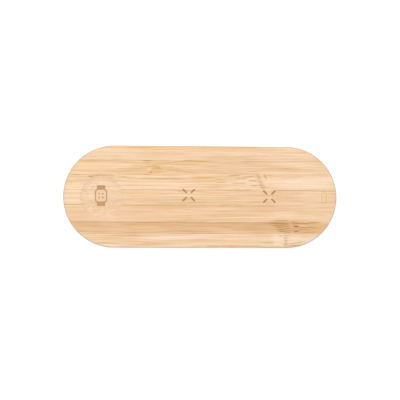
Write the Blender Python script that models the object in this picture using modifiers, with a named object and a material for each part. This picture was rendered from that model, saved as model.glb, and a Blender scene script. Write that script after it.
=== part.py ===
# A flat bamboo charging plate for two phones and a watch, seen from above as a stadium.
# The bamboo housing is milled from below. A plastic cover on six screws closes it, on six rubber feet.
# Inside are three charging coils, the main board with its port, and a small light at the right end.
# Lengths are in metres. +X runs along the plate, +Y to the rear edge with the port, +Z up.
# The origin lies under the middle of the plate, in the plane that the feet stand on.

import math

import bmesh
import bpy
import numpy as np
from mathutils import Vector
from mathutils.geometry import interpolate_bezier

# Fits that all pieces share
SEAT_GAP = 0.0003  # left between a piece and what carries it
CUT_OVERRUN = 0.0010  # how far a cutter runs past the face that it opens
WELD_DISTANCE = 0.00001
ARC_STEPS = 24  # facets in half a circle of the plate's outline
SMALL_ARC_STEPS = 6  # the same on the port and the light
ROUND_SIDES = 24  # sides of bosses and feet
SMALL_SIDES = 14  # sides of screws and their holes

# Bamboo housing
PLATE_WIDTH = 0.0900
END_TO_WATCH = 0.0341  # left end of the plate to the middle of the watch dish
PHONE_SPACING = 0.0715  # between the two places for phones
PHONE_TO_END = 0.0604  # right place for a phone to the right end of the plate
EDGE_ROUNDING = 0.0012
ROUNDING_SEGMENTS = 3
RIM_WIDTH = 0.0040  # bamboo left round the cover
LEDGE_WIDTH = 0.0025  # step that the cover closes against
CEILING_THICKNESS = 0.0022  # bamboo left over the coils

# Watch dish, turned into the top with a flat floor and a rim that curves up
DISH_RADIUS = 0.01885
DISH_FLOOR_RADIUS = 0.0130
DISH_DEPTH = 0.0009
DISH_RINGS = 4
DISH_SIDES = 48

# Bottom cover
COVER_THICKNESS = 0.0020
COVER_ROUNDING = 0.0004
LIP_HEIGHT = 0.0010
LIP_THICKNESS = 0.0012
LIP_ROOT = 0.0005  # how deep the lip's foot is sunk into the cover
VENT_COUNT = 9
VENT_WIDTH = 0.0014
VENT_LENGTH = 0.0180
VENT_WEB = 0.0018  # plastic left between two vents
LABEL_LENGTH = 0.0500
LABEL_WIDTH = 0.0280
LABEL_DEPTH = 0.0002

# Rubber feet
FOOT_RADIUS = 0.0060
FOOT_THICKNESS = 0.0016
FOOT_RECESS = 0.0006
FOOT_ROUNDING = 0.0004
FOOT_FROM_SIDE = 0.0180  # long edge of the plate to the middle of a foot

# Screws of the cover, and the bamboo bosses that they bite in
COVER_HEAD_RADIUS = 0.0022
COVER_HEAD_HEIGHT = 0.0008
COVER_HEAD_SINK = 0.0002  # how far a head lies below the cover's face
COVER_SHANK_RADIUS = 0.0010
COVER_SHANK_LENGTH = 0.0060
BOSS_RADIUS = 0.0040
BOSS_INSET = 0.0020  # boss axis to the pocket's wall
END_BOSS_ANGLE = math.radians(50)

# Screws of the main board
BOARD_HEAD_RADIUS = 0.00175
BOARD_HEAD_HEIGHT = 0.0007
BOARD_SHANK_RADIUS = 0.0008
BOARD_SHANK_LENGTH = 0.0036
BOARD_BOSS_RADIUS = 0.0028
BOARD_HOLE_INSET = 0.0032  # hole axis to the board's edges

# What both kinds of screw have alike, as shares of their own shank and head
TIP_SHARE = 0.2
CROSS_LENGTH_SHARE = 1.15
CROSS_WIDTH_SHARE = 0.28
CROSS_DEPTH_SHARE = 0.6

# Coil modules: adhesive, winding and ferrite hang from the ceiling in that order
ADHESIVE_THICKNESS = 0.0004
FERRITE_THICKNESS = 0.0014
WIRING_ROOM = 0.0029  # from the cover up to the ferrites of the phones
HOLE_SETBACK = 0.0008  # innermost turn to the ferrite's hole
LEAD_CLEARANCE = 0.0008  # free room round a lead
LOOP_POINTS = 24
LEAD_STEPS = 4
NEIGHBOUR_RADII = 8  # stretches of wire nearer along it than this many radii aren't measured apart
LEAD_TURN = math.radians(40)  # where the long inner lead leaves the left coil's rim
DROP_SWING_SHARE = 0.4  # share of the last half loop in which the wire swings in to the hole
DROP_START_SHARE = 0.3  # share of it after which the wire goes down
WIRE_FACETS = 1
TURN_GAP = 0.0007
FERRITE_BORDER = 0.0020  # ferrite left round the winding
PHONE_WIRE_RADIUS = 0.0006
PHONE_INNER_RADIUS = 0.0108
PHONE_TURNS = 6
WATCH_WIRE_RADIUS = 0.00045
WATCH_INNER_RADIUS = 0.0080
WATCH_TURNS = 4
MAGNET_THICKNESS = 0.0016

# Main board, between the coil of the watch and the left coil of the phones
BOARD_WIDTH = 0.03075
BOARD_THICKNESS = 0.0012
BOARD_SIDE_ROOM = 0.0020  # board to the ferrites beside it
BOARD_WALL_ROOM = 0.0006  # board to the pocket's walls
PAD_LENGTH = 0.0025  # how far a lead reaches over the board
CHIP_SIZE = (0.0055, 0.0055, 0.0009)
INDUCTOR_SIZE = (0.0055, 0.0060, 0.0018)
CAPACITOR_SIZE = (0.0048, 0.0060, 0.0016)
PACKAGE_ROUNDING = 0.0003
# Where the packages sit, from the board's middle, as shares of half its width and half its depth
PACKAGE_PLACE_SHARES = {
    "input_capacitor": (-0.35, 0.58),
    "power_inductor_left": (-0.35, 0.32),
    "control_chip_watch": (-0.35, 0.05),
    "resonant_capacitor_watch": (-0.35, -0.21),
    "power_inductor_right": (0.35, 0.58),
    "control_chip_phone_left": (0.35, 0.32),
    "resonant_capacitor_phone_left": (0.35, 0.05),
    "control_chip_phone_right": (0.35, -0.21),
    "resonant_capacitor_phone_right": (0.35, -0.48),
}

# Charging port in the rear edge
PORT_WIDTH = 0.0090
PORT_HEIGHT = 0.0033
PORT_LENGTH = 0.0105
PORT_WALL = 0.0003
PORT_SETBACK = 0.0006  # bamboo face to the port's mouth
PORT_FIT = 0.0001  # between the shell and the moulding inside it
SOCKET_DEPTH = 0.0062
TONGUE_SIDE_ROOM = 0.00085  # tongue to the shell on each side
TONGUE_THICKNESS = 0.0007
TONGUE_SETBACK = 0.0008
TAB_WIDTH = 0.0020
TAB_LENGTH = 0.0024

# Light at the right end: window, holder, small board, lamp and its cable
WINDOW_LENGTH = 0.0097
WINDOW_WIDTH = 0.0042
WINDOW_SINK = 0.0001
FLANGE_LIP = 0.0010
FLANGE_THICKNESS = 0.0008
FLANGE_WALL_ROOM = 0.0018  # flange to the end of the pocket
HOLDER_HEIGHT = 0.0014
LIGHT_BOARD_LENGTH = 0.0094
LIGHT_BOARD_THICKNESS = 0.0008
LAMP_SIZE = (0.0024, 0.0032, 0.0009)
CABLE_RADIUS = 0.0008
CABLE_FACETS = 2
CABLE_MEET = math.radians(30)  # where the cable meets the right coil's rim
CABLE_LEAVE = math.radians(135)  # where it leaves the left coil's rim

# Coils, from their wire and turns
PHONE_OUTER_RADIUS = PHONE_INNER_RADIUS + PHONE_TURNS * (2 * PHONE_WIRE_RADIUS + TURN_GAP)
PHONE_FERRITE_RADIUS = PHONE_OUTER_RADIUS + PHONE_WIRE_RADIUS + FERRITE_BORDER
WATCH_OUTER_RADIUS = WATCH_INNER_RADIUS + WATCH_TURNS * (2 * WATCH_WIRE_RADIUS + TURN_GAP)
WATCH_FERRITE_RADIUS = WATCH_OUTER_RADIUS + WATCH_WIRE_RADIUS + FERRITE_BORDER

# Places that follow from the sizes, along the plate
POCKET_INSET = RIM_WIDTH + LEDGE_WIDTH
WATCH_TO_PHONE = WATCH_FERRITE_RADIUS + PHONE_FERRITE_RADIUS + BOARD_WIDTH + 2 * BOARD_SIDE_ROOM
PLATE_LENGTH = END_TO_WATCH + WATCH_TO_PHONE + PHONE_SPACING + PHONE_TO_END
WATCH_X = END_TO_WATCH - PLATE_LENGTH / 2
LEFT_PHONE_X = WATCH_X + WATCH_TO_PHONE
RIGHT_PHONE_X = LEFT_PHONE_X + PHONE_SPACING
BOARD_X = WATCH_X + WATCH_FERRITE_RADIUS + BOARD_SIDE_ROOM + BOARD_WIDTH / 2
BOARD_HALF_DEPTH = PLATE_WIDTH / 2 - POCKET_INSET - BOARD_WALL_ROOM
STRAIGHT_HALF = (PLATE_LENGTH - PLATE_WIDTH) / 2  # half the straight stretch of the outline
BOSS_REACH = PLATE_WIDTH / 2 - POCKET_INSET - BOSS_INSET
MIDDLE_BOSS_X = (LEFT_PHONE_X + RIGHT_PHONE_X) / 2
FLANGE_WIDTH = WINDOW_WIDTH + 2 * FLANGE_LIP
WINDOW_X = PLATE_LENGTH / 2 - POCKET_INSET - FLANGE_WALL_ROOM - FLANGE_WIDTH / 2

# Heights that follow from the sizes
PLATE_BOTTOM_Z = FOOT_THICKNESS + SEAT_GAP - FOOT_RECESS
COVER_TOP_Z = PLATE_BOTTOM_Z + COVER_THICKNESS
LEDGE_Z = COVER_TOP_Z + SEAT_GAP
MODULE_HEIGHT = FERRITE_THICKNESS + 2 * PHONE_WIRE_RADIUS + ADHESIVE_THICKNESS + 3 * SEAT_GAP
CEILING_Z = COVER_TOP_Z + WIRING_ROOM + MODULE_HEIGHT
PLATE_TOP_Z = CEILING_Z + CEILING_THICKNESS
ADHESIVE_BOTTOM_Z = CEILING_Z - SEAT_GAP - ADHESIVE_THICKNESS
PORT_Z = (PLATE_BOTTOM_Z + PLATE_TOP_Z) / 2
BOARD_TOP_Z = PORT_Z + BOARD_THICKNESS / 2
BOARD_BOTTOM_Z = PORT_Z - BOARD_THICKNESS / 2
COUNTERBORE_DEPTH = COVER_HEAD_HEIGHT + SEAT_GAP + COVER_HEAD_SINK


def clear_scene():
    for obj in list(bpy.data.objects):
        bpy.data.objects.remove(obj, do_unlink=True)


def new_collection(name):
    collection = bpy.data.collections.new(name)
    bpy.context.scene.collection.children.link(collection)
    return collection


def new_material(name, colour, roughness, metallic=0.0):
    material = bpy.data.materials.new(name)
    material.use_nodes = True
    shader = material.node_tree.nodes["Principled BSDF"]
    shader.inputs["Base Color"].default_value = (*colour, 1.0)
    shader.inputs["Roughness"].default_value = roughness
    shader.inputs["Metallic"].default_value = metallic
    return material


clear_scene()
PARTS = new_collection("wireless_charger")
CUTTERS = new_collection("cutters")
BAMBOO = new_material("bamboo", (0.78, 0.55, 0.32), 0.55)
COVER_PLASTIC = new_material("cover_plastic", (0.80, 0.79, 0.76), 0.5)
RUBBER = new_material("foot_rubber", (0.30, 0.30, 0.30), 0.8)
SCREW_STEEL = new_material("screw_steel", (0.60, 0.60, 0.62), 0.35, 1.0)
PORT_STEEL = new_material("port_steel", (0.70, 0.70, 0.72), 0.25, 1.0)
BOARD_LAMINATE = new_material("board_laminate", (0.03, 0.22, 0.09), 0.45)
CHIP_RESIN = new_material("chip_resin", (0.03, 0.03, 0.03), 0.5)
CAPACITOR_CERAMIC = new_material("capacitor_ceramic", (0.45, 0.33, 0.20), 0.5)
COPPER = new_material("coil_copper", (0.72, 0.35, 0.18), 0.35, 1.0)
FERRITE = new_material("ferrite", (0.07, 0.07, 0.08), 0.6)
MAGNET_NICKEL = new_material("magnet_nickel", (0.65, 0.64, 0.60), 0.25, 1.0)
ADHESIVE = new_material("adhesive", (0.70, 0.70, 0.66), 0.7)
LIGHT_PLASTIC = new_material("light_plastic", (0.88, 0.80, 0.68), 0.4)
BLACK_PLASTIC = new_material("black_plastic", (0.04, 0.04, 0.04), 0.5)
CABLE_JACKET = new_material("cable_jacket", (0.60, 0.60, 0.58), 0.6)


def add_object(name, data, place=(0, 0, 0)):
    obj = bpy.data.objects.new(name, data)
    obj.location = place
    PARTS.objects.link(obj)
    return obj


def finish_part(obj, material):
    obj.data.materials.clear()
    obj.data.materials.append(material)
    if obj.type == "MESH":
        obj.data.shade_smooth()
        obj.data.set_sharp_from_angle(angle=math.radians(30))
    return obj


def make_cutter(obj):
    PARTS.objects.unlink(obj)
    CUTTERS.objects.link(obj)
    obj.hide_render = True
    obj.display_type = "WIRE"
    return obj


def boolean(obj, other, operation):
    modifier = obj.modifiers.new(f"{operation.lower()} {other.name}", "BOOLEAN")
    modifier.operation = operation
    modifier.object = make_cutter(other)
    return obj


def cut(obj, *others):
    for other in others:
        boolean(obj, other, "DIFFERENCE")
    return obj


def join(obj, *others):
    for other in others:
        boolean(obj, other, "UNION")
    return obj


def round_edges(obj, width, segments=2):
    modifier = obj.modifiers.new("rounding", "BEVEL")
    modifier.width = width
    modifier.segments = segments
    modifier.limit_method = "ANGLE"
    modifier.angle_limit = math.radians(50)
    return obj


def cylinder(name, radius, low_z, high_z, x=0, y=0, sides=ROUND_SIDES):
    mesh = bpy.data.meshes.new(name)
    shape = bmesh.new()
    bmesh.ops.create_cone(
        shape, cap_ends=True, segments=sides, radius1=radius, radius2=radius, depth=high_z - low_z
    )
    shape.to_mesh(mesh)
    shape.free()
    return add_object(name, mesh, (x, y, (low_z + high_z) / 2))


def box(name, size, centre):
    mesh = bpy.data.meshes.new(name)
    shape = bmesh.new()
    bmesh.ops.create_cube(shape, size=1)
    bmesh.ops.scale(shape, vec=size, verts=shape.verts)
    shape.to_mesh(mesh)
    shape.free()
    return add_object(name, mesh, centre)


def pill_outline(length, width, steps=SMALL_ARC_STEPS):
    radius = width / 2
    half = length / 2 - radius
    points = []
    for side in (1, -1):
        for step in range(steps + 1):
            angle = math.pi * (step / steps - 1 / 2)
            points.append((side * (half + radius * math.cos(angle)), side * radius * math.sin(angle)))
    return points


def flat_block(name, outline, low_z, high_z, centre=(0, 0)):
    # A closed flat outline given a thickness, as a welded mesh whose caps are single faces
    curve = bpy.data.curves.new(name, "CURVE")
    curve.dimensions = "2D"
    curve.fill_mode = "BOTH"
    curve.extrude = (high_z - low_z) / 2
    spline = curve.splines.new("POLY")
    spline.points.add(len(outline) - 1)
    for point, (x, y) in zip(spline.points, outline):
        point.co = (x, y, 0, 1)
    spline.use_cyclic_u = True
    drawn = add_object(name + " outline", curve)
    bpy.context.view_layer.update()
    graph = bpy.context.evaluated_depsgraph_get()
    mesh = bpy.data.meshes.new_from_object(drawn.evaluated_get(graph))
    bpy.data.objects.remove(drawn)
    shape = bmesh.new()
    shape.from_mesh(mesh)
    bmesh.ops.remove_doubles(shape, verts=shape.verts, dist=WELD_DISTANCE)
    bmesh.ops.dissolve_limit(
        shape, angle_limit=math.radians(0.1), verts=shape.verts, edges=shape.edges, delimit=set()
    )
    bmesh.ops.recalc_face_normals(shape, faces=shape.faces)
    shape.to_mesh(mesh)
    shape.free()
    mesh.name = name
    return add_object(name, mesh, (*centre, (low_z + high_z) / 2))


def plate_block(name, inset, low_z, high_z):
    # The plate's own stadium outline, drawn in by an inset
    outline = pill_outline(PLATE_LENGTH - 2 * inset, PLATE_WIDTH - 2 * inset, ARC_STEPS)
    return flat_block(name, outline, low_z, high_z)


def turned(name, profile, x=0, y=0, z=0, sides=ROUND_SIDES):
    # A profile in (radius, height), run from the top of the axis down the outer side
    mesh = bpy.data.meshes.new(name)
    shape = bmesh.new()
    corners = [shape.verts.new((radius, 0, height)) for radius, height in profile]
    for upper, lower in zip(corners, corners[1:]):
        shape.edges.new((upper, lower))
    shape.to_mesh(mesh)
    shape.free()
    obj = add_object(name, mesh, (x, y, z))
    modifier = obj.modifiers.new("turning", "SCREW")
    modifier.steps = sides
    modifier.render_steps = sides
    modifier.use_merge_vertices = True
    modifier.merge_threshold = WELD_DISTANCE
    return obj


def cover_screw_places():
    # Four on the round ends and two on the long sides, between the two phones
    along = STRAIGHT_HALF + BOSS_REACH * math.cos(END_BOSS_ANGLE)
    across = BOSS_REACH * math.sin(END_BOSS_ANGLE)
    ends = [(sx * along, sy * across) for sx in (-1, 1) for sy in (-1, 1)]
    return ends + [(MIDDLE_BOSS_X, -BOSS_REACH), (MIDDLE_BOSS_X, BOSS_REACH)]


def board_screw_places():
    # Two beside the port and one at the front, clear of the leads
    side = BOARD_WIDTH / 2 - BOARD_HOLE_INSET
    rear = BOARD_HALF_DEPTH - BOARD_HOLE_INSET
    return [(BOARD_X - side, rear), (BOARD_X + side, rear), (BOARD_X, -rear)]


def foot_places():
    across = PLATE_WIDTH / 2 - FOOT_FROM_SIDE
    return [(sx * STRAIGHT_HALF, sy * across) for sx in (-1, 0, 1) for sy in (-1, 1)]


def port_block(name, width, height, rear_y, front_y):
    # A pill standing in the rear wall, with its length along X and its depth along Y
    block = flat_block(name, pill_outline(width, height), rear_y, front_y)
    block.location = (BOARD_X, (rear_y + front_y) / 2, PORT_Z)
    block.rotation_euler = (math.radians(90), 0, 0)
    return block


def dish_cutter():
    slope = DISH_RADIUS - DISH_FLOOR_RADIUS
    profile = [(0, CUT_OVERRUN), (DISH_RADIUS, CUT_OVERRUN)]
    for ring in range(DISH_RINGS, -1, -1):
        share = ring / DISH_RINGS
        profile.append((DISH_FLOOR_RADIUS + slope * share, DISH_DEPTH * (share**2 - 1)))
    profile.append((0, -DISH_DEPTH))
    return turned("dish cutter", profile, WATCH_X, 0, PLATE_TOP_Z, DISH_SIDES)


def make_bamboo_housing():
    housing = plate_block("bamboo_housing", 0, PLATE_BOTTOM_Z, PLATE_TOP_Z)
    round_edges(housing, EDGE_ROUNDING, ROUNDING_SEGMENTS)
    rebate = plate_block("cover rebate", RIM_WIDTH, PLATE_BOTTOM_Z - CUT_OVERRUN, LEDGE_Z)
    pocket = plate_block("pocket", POCKET_INSET, LEDGE_Z - CUT_OVERRUN, CEILING_Z)
    for x, y in cover_screw_places():
        cut(pocket, cylinder("cover boss", BOSS_RADIUS, PLATE_BOTTOM_Z, PLATE_TOP_Z, x, y))
    for x, y in board_screw_places():
        cut(pocket, cylinder("board boss", BOARD_BOSS_RADIUS, BOARD_TOP_Z + SEAT_GAP, PLATE_TOP_Z, x, y))
    cut(housing, rebate, pocket, dish_cutter())
    screw_seat = PLATE_BOTTOM_Z + COUNTERBORE_DEPTH - SEAT_GAP
    for x, y in cover_screw_places():
        top = screw_seat + COVER_SHANK_LENGTH + SEAT_GAP
        bore = COVER_SHANK_RADIUS + SEAT_GAP
        cut(housing, cylinder("cover pilot", bore, PLATE_BOTTOM_Z, top, x, y, SMALL_SIDES))
    for x, y in board_screw_places():
        top = BOARD_BOTTOM_Z + BOARD_SHANK_LENGTH
        bore = BOARD_SHANK_RADIUS + SEAT_GAP
        cut(housing, cylinder("board pilot", bore, BOARD_BOTTOM_Z, top, x, y, SMALL_SIDES))
    rear_face = PLATE_WIDTH / 2
    port_hole = port_block(
        "port hole",
        PORT_WIDTH + 2 * SEAT_GAP,
        PORT_HEIGHT + 2 * SEAT_GAP,
        rear_face - POCKET_INSET - CUT_OVERRUN,
        rear_face + CUT_OVERRUN,
    )
    window_hole = flat_block(
        "window hole",
        pill_outline(WINDOW_LENGTH + 2 * SEAT_GAP, WINDOW_WIDTH + 2 * SEAT_GAP),
        CEILING_Z - CUT_OVERRUN,
        PLATE_TOP_Z + CUT_OVERRUN,
        (WINDOW_X, 0),
    )
    window_hole.rotation_euler = (0, 0, math.radians(90))
    cut(housing, port_hole, window_hole)
    return finish_part(housing, BAMBOO)


def make_cover_lip():
    # A low ring that centres the cover in the pocket, open where the bosses stand
    inset = POCKET_INSET + SEAT_GAP
    low = COVER_TOP_Z - LIP_ROOT
    high = COVER_TOP_Z + LIP_HEIGHT
    lip = plate_block("cover lip", inset, low, high)
    cut(lip, plate_block("lip inside", inset + LIP_THICKNESS, low - CUT_OVERRUN, high + CUT_OVERRUN))
    for x, y in cover_screw_places():
        cut(lip, cylinder("boss room", BOSS_RADIUS + SEAT_GAP, low - CUT_OVERRUN, high + CUT_OVERRUN, x, y))
    return lip


def make_bottom_cover():
    cover = plate_block("bottom_cover", RIM_WIDTH + SEAT_GAP, PLATE_BOTTOM_Z, COVER_TOP_Z)
    round_edges(cover, COVER_ROUNDING)
    join(cover, make_cover_lip())
    below = PLATE_BOTTOM_Z - CUT_OVERRUN
    for x, y in cover_screw_places():
        bore = COVER_HEAD_RADIUS + SEAT_GAP
        cut(cover, cylinder("counterbore", bore, below, PLATE_BOTTOM_Z + COUNTERBORE_DEPTH, x, y))
        hole = COVER_SHANK_RADIUS + SEAT_GAP
        cut(cover, cylinder("screw hole", hole, below, COVER_TOP_Z + CUT_OVERRUN, x, y, SMALL_SIDES))
    for x, y in foot_places():
        bore = FOOT_RADIUS + SEAT_GAP
        cut(cover, cylinder("foot recess", bore, below, PLATE_BOTTOM_Z + FOOT_RECESS, x, y))
    for number in range(VENT_COUNT):
        x = BOARD_X + (VENT_WIDTH + VENT_WEB) * (number - (VENT_COUNT - 1) / 2)
        size = (VENT_WIDTH, VENT_LENGTH, COVER_THICKNESS + 2 * CUT_OVERRUN)
        cut(cover, box("vent", size, (x, 0, (PLATE_BOTTOM_Z + COVER_TOP_Z) / 2)))
    label_size = (LABEL_LENGTH, LABEL_WIDTH, 2 * LABEL_DEPTH)
    label = box("label recess", label_size, (RIGHT_PHONE_X, 0, PLATE_BOTTOM_Z))
    cut(cover, label)
    return finish_part(cover, COVER_PLASTIC)


def make_feet():
    edge = FOOT_RADIUS - FOOT_ROUNDING
    profile = [
        (0, FOOT_THICKNESS),
        (FOOT_RADIUS, FOOT_THICKNESS),
        (FOOT_RADIUS, FOOT_ROUNDING),
        (edge, 0),
        (0, 0),
    ]
    for number, (x, y) in enumerate(foot_places(), 1):
        finish_part(turned(f"foot_{number}", profile, x, y), RUBBER)


def make_screw(name, x, y, seat_z, head_radius, head_height, shank_radius, shank_length):
    # The head hangs below its seat and the shank points up
    tip = shank_length * TIP_SHARE
    profile = [
        (0, shank_length),
        (shank_radius, shank_length - tip),
        (shank_radius, 0),
        (head_radius, 0),
        (head_radius, -head_height),
        (0, -head_height),
    ]
    screw = turned(name, profile, x, y, seat_z, SMALL_SIDES)
    depth = head_height * CROSS_DEPTH_SHARE
    long_side = head_radius * CROSS_LENGTH_SHARE
    short_side = head_radius * CROSS_WIDTH_SHARE
    for size in ((long_side, short_side, 2 * depth), (short_side, long_side, 2 * depth)):
        cut(screw, box(name + " cross", size, (x, y, seat_z - head_height)))
    return finish_part(screw, SCREW_STEEL)


def make_cover_screws():
    seat = PLATE_BOTTOM_Z + COUNTERBORE_DEPTH - SEAT_GAP
    sizes = (COVER_HEAD_RADIUS, COVER_HEAD_HEIGHT, COVER_SHANK_RADIUS, COVER_SHANK_LENGTH)
    for number, (x, y) in enumerate(cover_screw_places(), 1):
        make_screw(f"cover_screw_{number}", x, y, seat, *sizes)


def make_board_screws():
    seat = BOARD_BOTTOM_Z - SEAT_GAP
    sizes = (BOARD_HEAD_RADIUS, BOARD_HEAD_HEIGHT, BOARD_SHANK_RADIUS, BOARD_SHANK_LENGTH)
    for number, (x, y) in enumerate(board_screw_places(), 1):
        make_screw(f"board_screw_{number}", x, y, seat, *sizes)


def port_front_y():
    return PLATE_WIDTH / 2 - PORT_SETBACK


def port_rear_y():
    return port_front_y() - PORT_LENGTH


def make_main_board():
    size = (BOARD_WIDTH, 2 * BOARD_HALF_DEPTH, BOARD_THICKNESS)
    board = box("main_board", size, (BOARD_X, 0, PORT_Z))
    for x, y in board_screw_places():
        low = BOARD_BOTTOM_Z - CUT_OVERRUN
        high = BOARD_TOP_Z + CUT_OVERRUN
        bore = BOARD_SHANK_RADIUS + SEAT_GAP
        cut(board, cylinder("board hole", bore, low, high, x, y, SMALL_SIDES))
    notch_rear = port_rear_y() - SEAT_GAP
    notch_front = BOARD_HALF_DEPTH + CUT_OVERRUN
    notch_size = (PORT_WIDTH + 2 * SEAT_GAP, notch_front - notch_rear, BOARD_THICKNESS + 2 * CUT_OVERRUN)
    cut(board, box("port notch", notch_size, (BOARD_X, (notch_front + notch_rear) / 2, PORT_Z)))
    return finish_part(board, BOARD_LAMINATE)


def make_packages():
    kinds = {
        "control_chip": (CHIP_SIZE, CHIP_RESIN),
        "power_inductor": (INDUCTOR_SIZE, FERRITE),
        "input_capacitor": (CAPACITOR_SIZE, CAPACITOR_CERAMIC),
        "resonant_capacitor": (CAPACITOR_SIZE, CAPACITOR_CERAMIC),
    }
    for name, (x_share, y_share) in PACKAGE_PLACE_SHARES.items():
        size, material = next(kinds[kind] for kind in kinds if name.startswith(kind))
        x = BOARD_X + x_share * BOARD_WIDTH / 2
        y = y_share * BOARD_HALF_DEPTH
        z = BOARD_BOTTOM_Z - SEAT_GAP - size[2] / 2
        package = box(name, size, (x, y, z))
        finish_part(round_edges(package, PACKAGE_ROUNDING, 1), material)


def make_port_shell():
    rear, front = port_rear_y(), port_front_y()
    shell = port_block("port_shell", PORT_WIDTH, PORT_HEIGHT, rear, front)
    # A tab on each side carries the shell on the board's upper face
    tab_size = (PORT_WIDTH + 2 * TAB_WIDTH, TAB_LENGTH, PORT_WALL)
    tab_z = BOARD_TOP_Z + SEAT_GAP + PORT_WALL / 2
    join(shell, box("port tabs", tab_size, (BOARD_X, rear + TAB_LENGTH / 2, tab_z)))
    inner_width = PORT_WIDTH - 2 * PORT_WALL
    inner_height = PORT_HEIGHT - 2 * PORT_WALL
    cut(shell, port_block("port bore", inner_width, inner_height, rear - CUT_OVERRUN, front + CUT_OVERRUN))
    return finish_part(shell, PORT_STEEL)


def make_port_moulding():
    # The rear plug of the socket, with the tongue that carries the contacts
    rear, front = port_rear_y(), port_front_y()
    width = PORT_WIDTH - 2 * PORT_WALL - 2 * PORT_FIT
    height = PORT_HEIGHT - 2 * PORT_WALL - 2 * PORT_FIT
    moulding = port_block("port_moulding", width, height, rear, front - SOCKET_DEPTH)
    tongue_front = front - TONGUE_SETBACK
    tongue_rear = rear + (PORT_LENGTH - SOCKET_DEPTH) / 2
    tongue_width = PORT_WIDTH - 2 * PORT_WALL - 2 * TONGUE_SIDE_ROOM
    size = (tongue_width, tongue_front - tongue_rear, TONGUE_THICKNESS)
    join(moulding, box("port tongue", size, (BOARD_X, (tongue_front + tongue_rear) / 2, PORT_Z)))
    return finish_part(moulding, BLACK_PLASTIC)


def smooth_share(value):
    value = min(max(value, 0), 1)
    return value * value * (3 - 2 * value)


def curve_through(points, steps):
    # A smooth curve through the points, read at an even number of steps in each span
    points = [Vector(point) for point in points]
    ends = [2 * points[0] - points[1], *points, 2 * points[-1] - points[-2]]
    read = []
    for before, start, stop, after in zip(ends, ends[1:], ends[2:], ends[3:]):
        reach = (stop - start).length / 3
        leave = start + reach * (stop - before).normalized()
        arrive = stop - reach * (after - start).normalized()
        read += interpolate_bezier(start, leave, arrive, stop, steps + 1)[:-1]
    return [*read, points[-1]]


def tube(name, points, radius, material, facets):
    curve = bpy.data.curves.new(name, "CURVE")
    curve.dimensions = "3D"
    curve.bevel_depth = radius
    curve.bevel_resolution = facets
    curve.use_fill_caps = True
    spline = curve.splines.new("POLY")
    spline.points.add(len(points) - 1)
    for point, place in zip(spline.points, points):
        point.co = (*place, 1)
    return finish_part(add_object(name, curve), material)


def print_least_gap(name, points, radius):
    # The least room between two stretches of one wire that are not neighbours along it
    places = np.array([tuple(point) for point in points])
    along = np.concatenate([[0], np.cumsum(np.linalg.norm(np.diff(places, axis=0), axis=1))])
    apart = np.linalg.norm(places[:, None] - places[None], axis=2)
    apart[np.abs(along[:, None] - along[None]) < NEIGHBOUR_RADII * radius] = np.inf
    print(f"{name}: least gap to itself {1000 * (apart.min() - 2 * radius):.2f} mm")


def arc_around(x, radius, start, stop, z, steps=3):
    angles = [start + (stop - start) * step / steps for step in range(steps + 1)]
    return [(x + radius * math.cos(angle), radius * math.sin(angle), z) for angle in angles]


def coil_heights(wire_radius):
    coil_z = ADHESIVE_BOTTOM_Z - SEAT_GAP - wire_radius
    ferrite_top = coil_z - wire_radius - SEAT_GAP
    under_z = ferrite_top - FERRITE_THICKNESS - SEAT_GAP - wire_radius
    return coil_z, ferrite_top, under_z


def ferrite_hole(inner_radius, wire_radius):
    return inner_radius - wire_radius - HOLE_SETBACK


def drop_radius(inner_radius, wire_radius):
    # Where the inner lead goes down through the hole in the ferrite
    return ferrite_hole(inner_radius, wire_radius) - LEAD_CLEARANCE - wire_radius


def winding_turns(x, side, inner_radius, outer_radius, turns, wire_radius):
    # From the outermost turn, in the direction away from the board, inwards and down through the ferrite
    coil_z, _, under_z = coil_heights(wire_radius)
    drop = drop_radius(inner_radius, wire_radius)
    steps = turns * LOOP_POINTS
    points = []
    for step in range(steps + 1):
        angle = 2 * math.pi * step / LOOP_POINTS - math.pi / 2
        radius = outer_radius + (inner_radius - outer_radius) * step / steps
        points.append((x + side * radius * math.cos(angle), radius * math.sin(angle), coil_z))
    half_loop = LOOP_POINTS // 2
    for step in range(1, half_loop + 1):
        share = step / half_loop
        angle = math.pi * share - math.pi / 2
        swing = smooth_share(share / DROP_SWING_SHARE)
        fall = smooth_share((share - DROP_START_SHARE) / (1 - DROP_START_SHARE))
        radius = inner_radius + (drop - inner_radius) * swing
        z = coil_z + (under_z - coil_z) * fall
        points.append((x + side * radius * math.cos(angle), radius * math.sin(angle), z))
    return points


def make_coil(name, x, side, sizes, outer_lead, inner_lead):
    # A lead is the list of places from the board's pad to the coil, the coil's own end left out
    inner_radius, outer_radius, turns, wire_radius, ferrite_radius = sizes
    turns_path = winding_turns(x, side, inner_radius, outer_radius, turns, wire_radius)
    coil_z, ferrite_top, _ = coil_heights(wire_radius)
    lead_in = curve_through([*outer_lead, turns_path[0]], LEAD_STEPS)[:-1]
    lead_out = curve_through([turns_path[-1], *reversed(inner_lead)], LEAD_STEPS)[1:]
    path = [*lead_in, *turns_path, *lead_out]
    print_least_gap(f"{name}_winding", path, wire_radius)
    tube(f"{name}_winding", path, wire_radius, COPPER, WIRE_FACETS)
    ferrite = cylinder(
        f"{name}_ferrite", ferrite_radius, ferrite_top - FERRITE_THICKNESS, ferrite_top, x, 0, 2 * ARC_STEPS
    )
    hole = ferrite_hole(inner_radius, wire_radius)
    cut(ferrite, cylinder("ferrite hole", hole, COVER_TOP_Z, PLATE_TOP_Z, x, 0, ARC_STEPS))
    finish_part(ferrite, FERRITE)
    pad_top = CEILING_Z - SEAT_GAP
    pad_radius = outer_radius + wire_radius
    adhesive = cylinder(f"{name}_adhesive", pad_radius, ADHESIVE_BOTTOM_Z, pad_top, x, 0, 2 * ARC_STEPS)
    finish_part(adhesive, ADHESIVE)


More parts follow.
